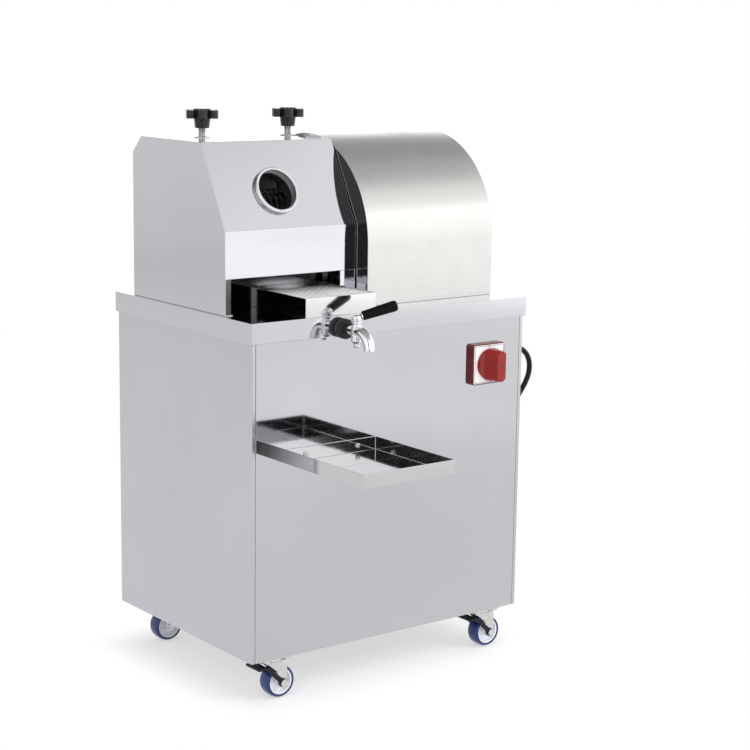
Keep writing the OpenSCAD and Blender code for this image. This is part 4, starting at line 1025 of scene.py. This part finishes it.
def make_world():
    world = bpy.data.worlds.new("room")
    bpy.context.scene.world = world
    world.use_nodes = True
    tree = world.node_tree
    tree.nodes.clear()
    coordinates = add_node(tree, "ShaderNodeTexCoord")
    split = add_node(tree, "ShaderNodeSeparateXYZ", {0: coordinates.outputs["Generated"]})
    behind = number_math(tree, "MAXIMUM", split.outputs["Y"], 0.0)
    steeper = add_node(tree, "ShaderNodeMath", {0: behind, 1: LOWER_BEHIND, 2: 1.0},
                       operation="MULTIPLY_ADD")
    lifted = number_math(tree, "MULTIPLY", split.outputs["Z"], steeper.outputs[0])
    by_height = levels(tree, lifted, (-1, 1), ROOM_BY_HEIGHT)
    side = add_node(tree, "ShaderNodeVectorMath", {0: coordinates.outputs["Generated"], 1: BRIGHT_SIDE},
                    operation="DOT_PRODUCT")
    dim = add_node(tree, "ShaderNodeMapRange",
                   {"Value": side.outputs["Value"], "From Min": -1, "From Max": 0.0,
                    "To Min": DIM_SHARE, "To Max": 1}, interpolation_type="SMOOTHSTEP")
    strength = number_math(tree, "MULTIPLY", by_height, dim.outputs["Result"])
    room = add_node(tree, "ShaderNodeBackground", {"Color": WHITE, "Strength": strength})
    white = add_node(tree, "ShaderNodeBackground", {"Color": WHITE, "Strength": 1.0})
    path = add_node(tree, "ShaderNodeLightPath")
    mix = add_node(tree, "ShaderNodeMixShader", {0: path.outputs["Is Camera Ray"], 1: room.outputs[0],
                                                 2: white.outputs[0]})
    add_node(tree, "ShaderNodeOutputWorld", {"Surface": mix.outputs[0]})


# Soft boxes: place, side length and power in watts
SOFT_BOXES = [((1.7, -2.4, 2.5), 1.8, 42), ((-2.1, -1.7, 2.3), 2.0, 24), ((0.0, 0.3, 3.2), 2.6, 40)]
LAMP_AIM = Vector((0, 0.05, 0.4))


def make_lamps():
    for number, (at, side, power) in enumerate(SOFT_BOXES):
        data = bpy.data.lights.new("soft_box_%d" % number, "AREA")
        data.size = side
        data.energy = power
        lamp = link_object("soft_box_%d" % number, data)
        lamp.location = at
        lamp.rotation_mode = "QUATERNION"
        lamp.rotation_quaternion = (LAMP_AIM - Vector(at)).to_track_quat("-Z", "Y")
        lamp.visible_glossy = False


# Dark card with soft sides, which only shows in polished metal

FLAG_W = 0.6
FLAG_H = 2.8
# Direction and distance of the card from the part, its shift to the left and its lean that way
FLAG_TOWARDS = Vector((-0.6, -0.8, 0))
FLAG_AWAY = 1.7
FLAG_SHIFT = 0.185
FLAG_LEAN = 0.24
# Half width of the dark middle and of the card, as shares of the card's width
FLAG_CORE_SHARE = 0.2
FLAG_HALF_SHARE = 0.5
# Brightness of the card's two sides, which is that of the room
FLAG_SIDES = 1.4
# Brightness of the card's middle by height in metres
FLAG_LEVELS = [(0, 0.03), (1.2, 0.03), (2.6, 0.12)]


def make_flag():
    """Card at the front left, beside the camera, paler towards its top."""
    mesh = bpy.data.meshes.new("flag")
    work = bmesh.new()
    bmesh.ops.create_grid(work, x_segments=1, y_segments=1, size=FLAG_HALF_SHARE)
    work.to_mesh(mesh)
    work.free()
    flag = link_object("flag", mesh)
    left = Vector((FLAG_TOWARDS.y, -FLAG_TOWARDS.x, 0))
    flag.scale = (FLAG_W, FLAG_H, 1)
    flag.location = FLAG_TOWARDS * FLAG_AWAY + left * FLAG_SHIFT + Vector((0, 0, FLAG_H / 2))
    flag.rotation_mode = "QUATERNION"
    upright = (-FLAG_TOWARDS).to_track_quat("Z", "Y")
    flag.rotation_quaternion = upright @ Quaternion((0, 0, 1), -FLAG_LEAN)
    flag.visible_camera = False
    flag.visible_diffuse = False
    flag.visible_shadow = False
    flag.visible_transmission = False
    material, tree = bare_material("flag_black")
    position = add_node(tree, "ShaderNodeNewGeometry").outputs["Position"]
    height = add_node(tree, "ShaderNodeSeparateXYZ", {0: position}).outputs["Z"]
    dark = levels(tree, height, (0, FLAG_H), FLAG_LEVELS)
    across = add_node(tree, "ShaderNodeTexCoord").outputs["Object"]
    sideways = add_node(tree, "ShaderNodeSeparateXYZ", {0: across}).outputs["X"]
    off_middle = add_node(tree, "ShaderNodeMath", {0: sideways}, operation="ABSOLUTE")
    fade = add_node(tree, "ShaderNodeMapRange",
                    {"Value": off_middle.outputs[0], "From Min": FLAG_CORE_SHARE,
                     "From Max": FLAG_HALF_SHARE, "To Min": dark, "To Max": FLAG_SIDES},
                    interpolation_type="SMOOTHSTEP")
    glow = add_node(tree, "ShaderNodeEmission", {"Color": WHITE, "Strength": fade.outputs["Result"]})
    add_node(tree, "ShaderNodeOutputMaterial", {"Surface": glow.outputs[0]})
    mesh.materials.append(material)


make_camera()
finish = make_materials()
make_cord(finish)
dress_all(finish)
make_threads(finish)
make_screws(finish)
make_switch_border(finish)
make_switch_numerals(finish)
make_handle_screw(finish)
hide_switch_from_mirrors()
make_collar_ridges(finish)
make_flange(finish)
make_union(finish)
make_tie(finish)
make_pedal_ribs(finish)
make_floor()
make_world()
make_lamps()
make_flag()
bpy.context.scene.view_settings.view_transform = "Standard"
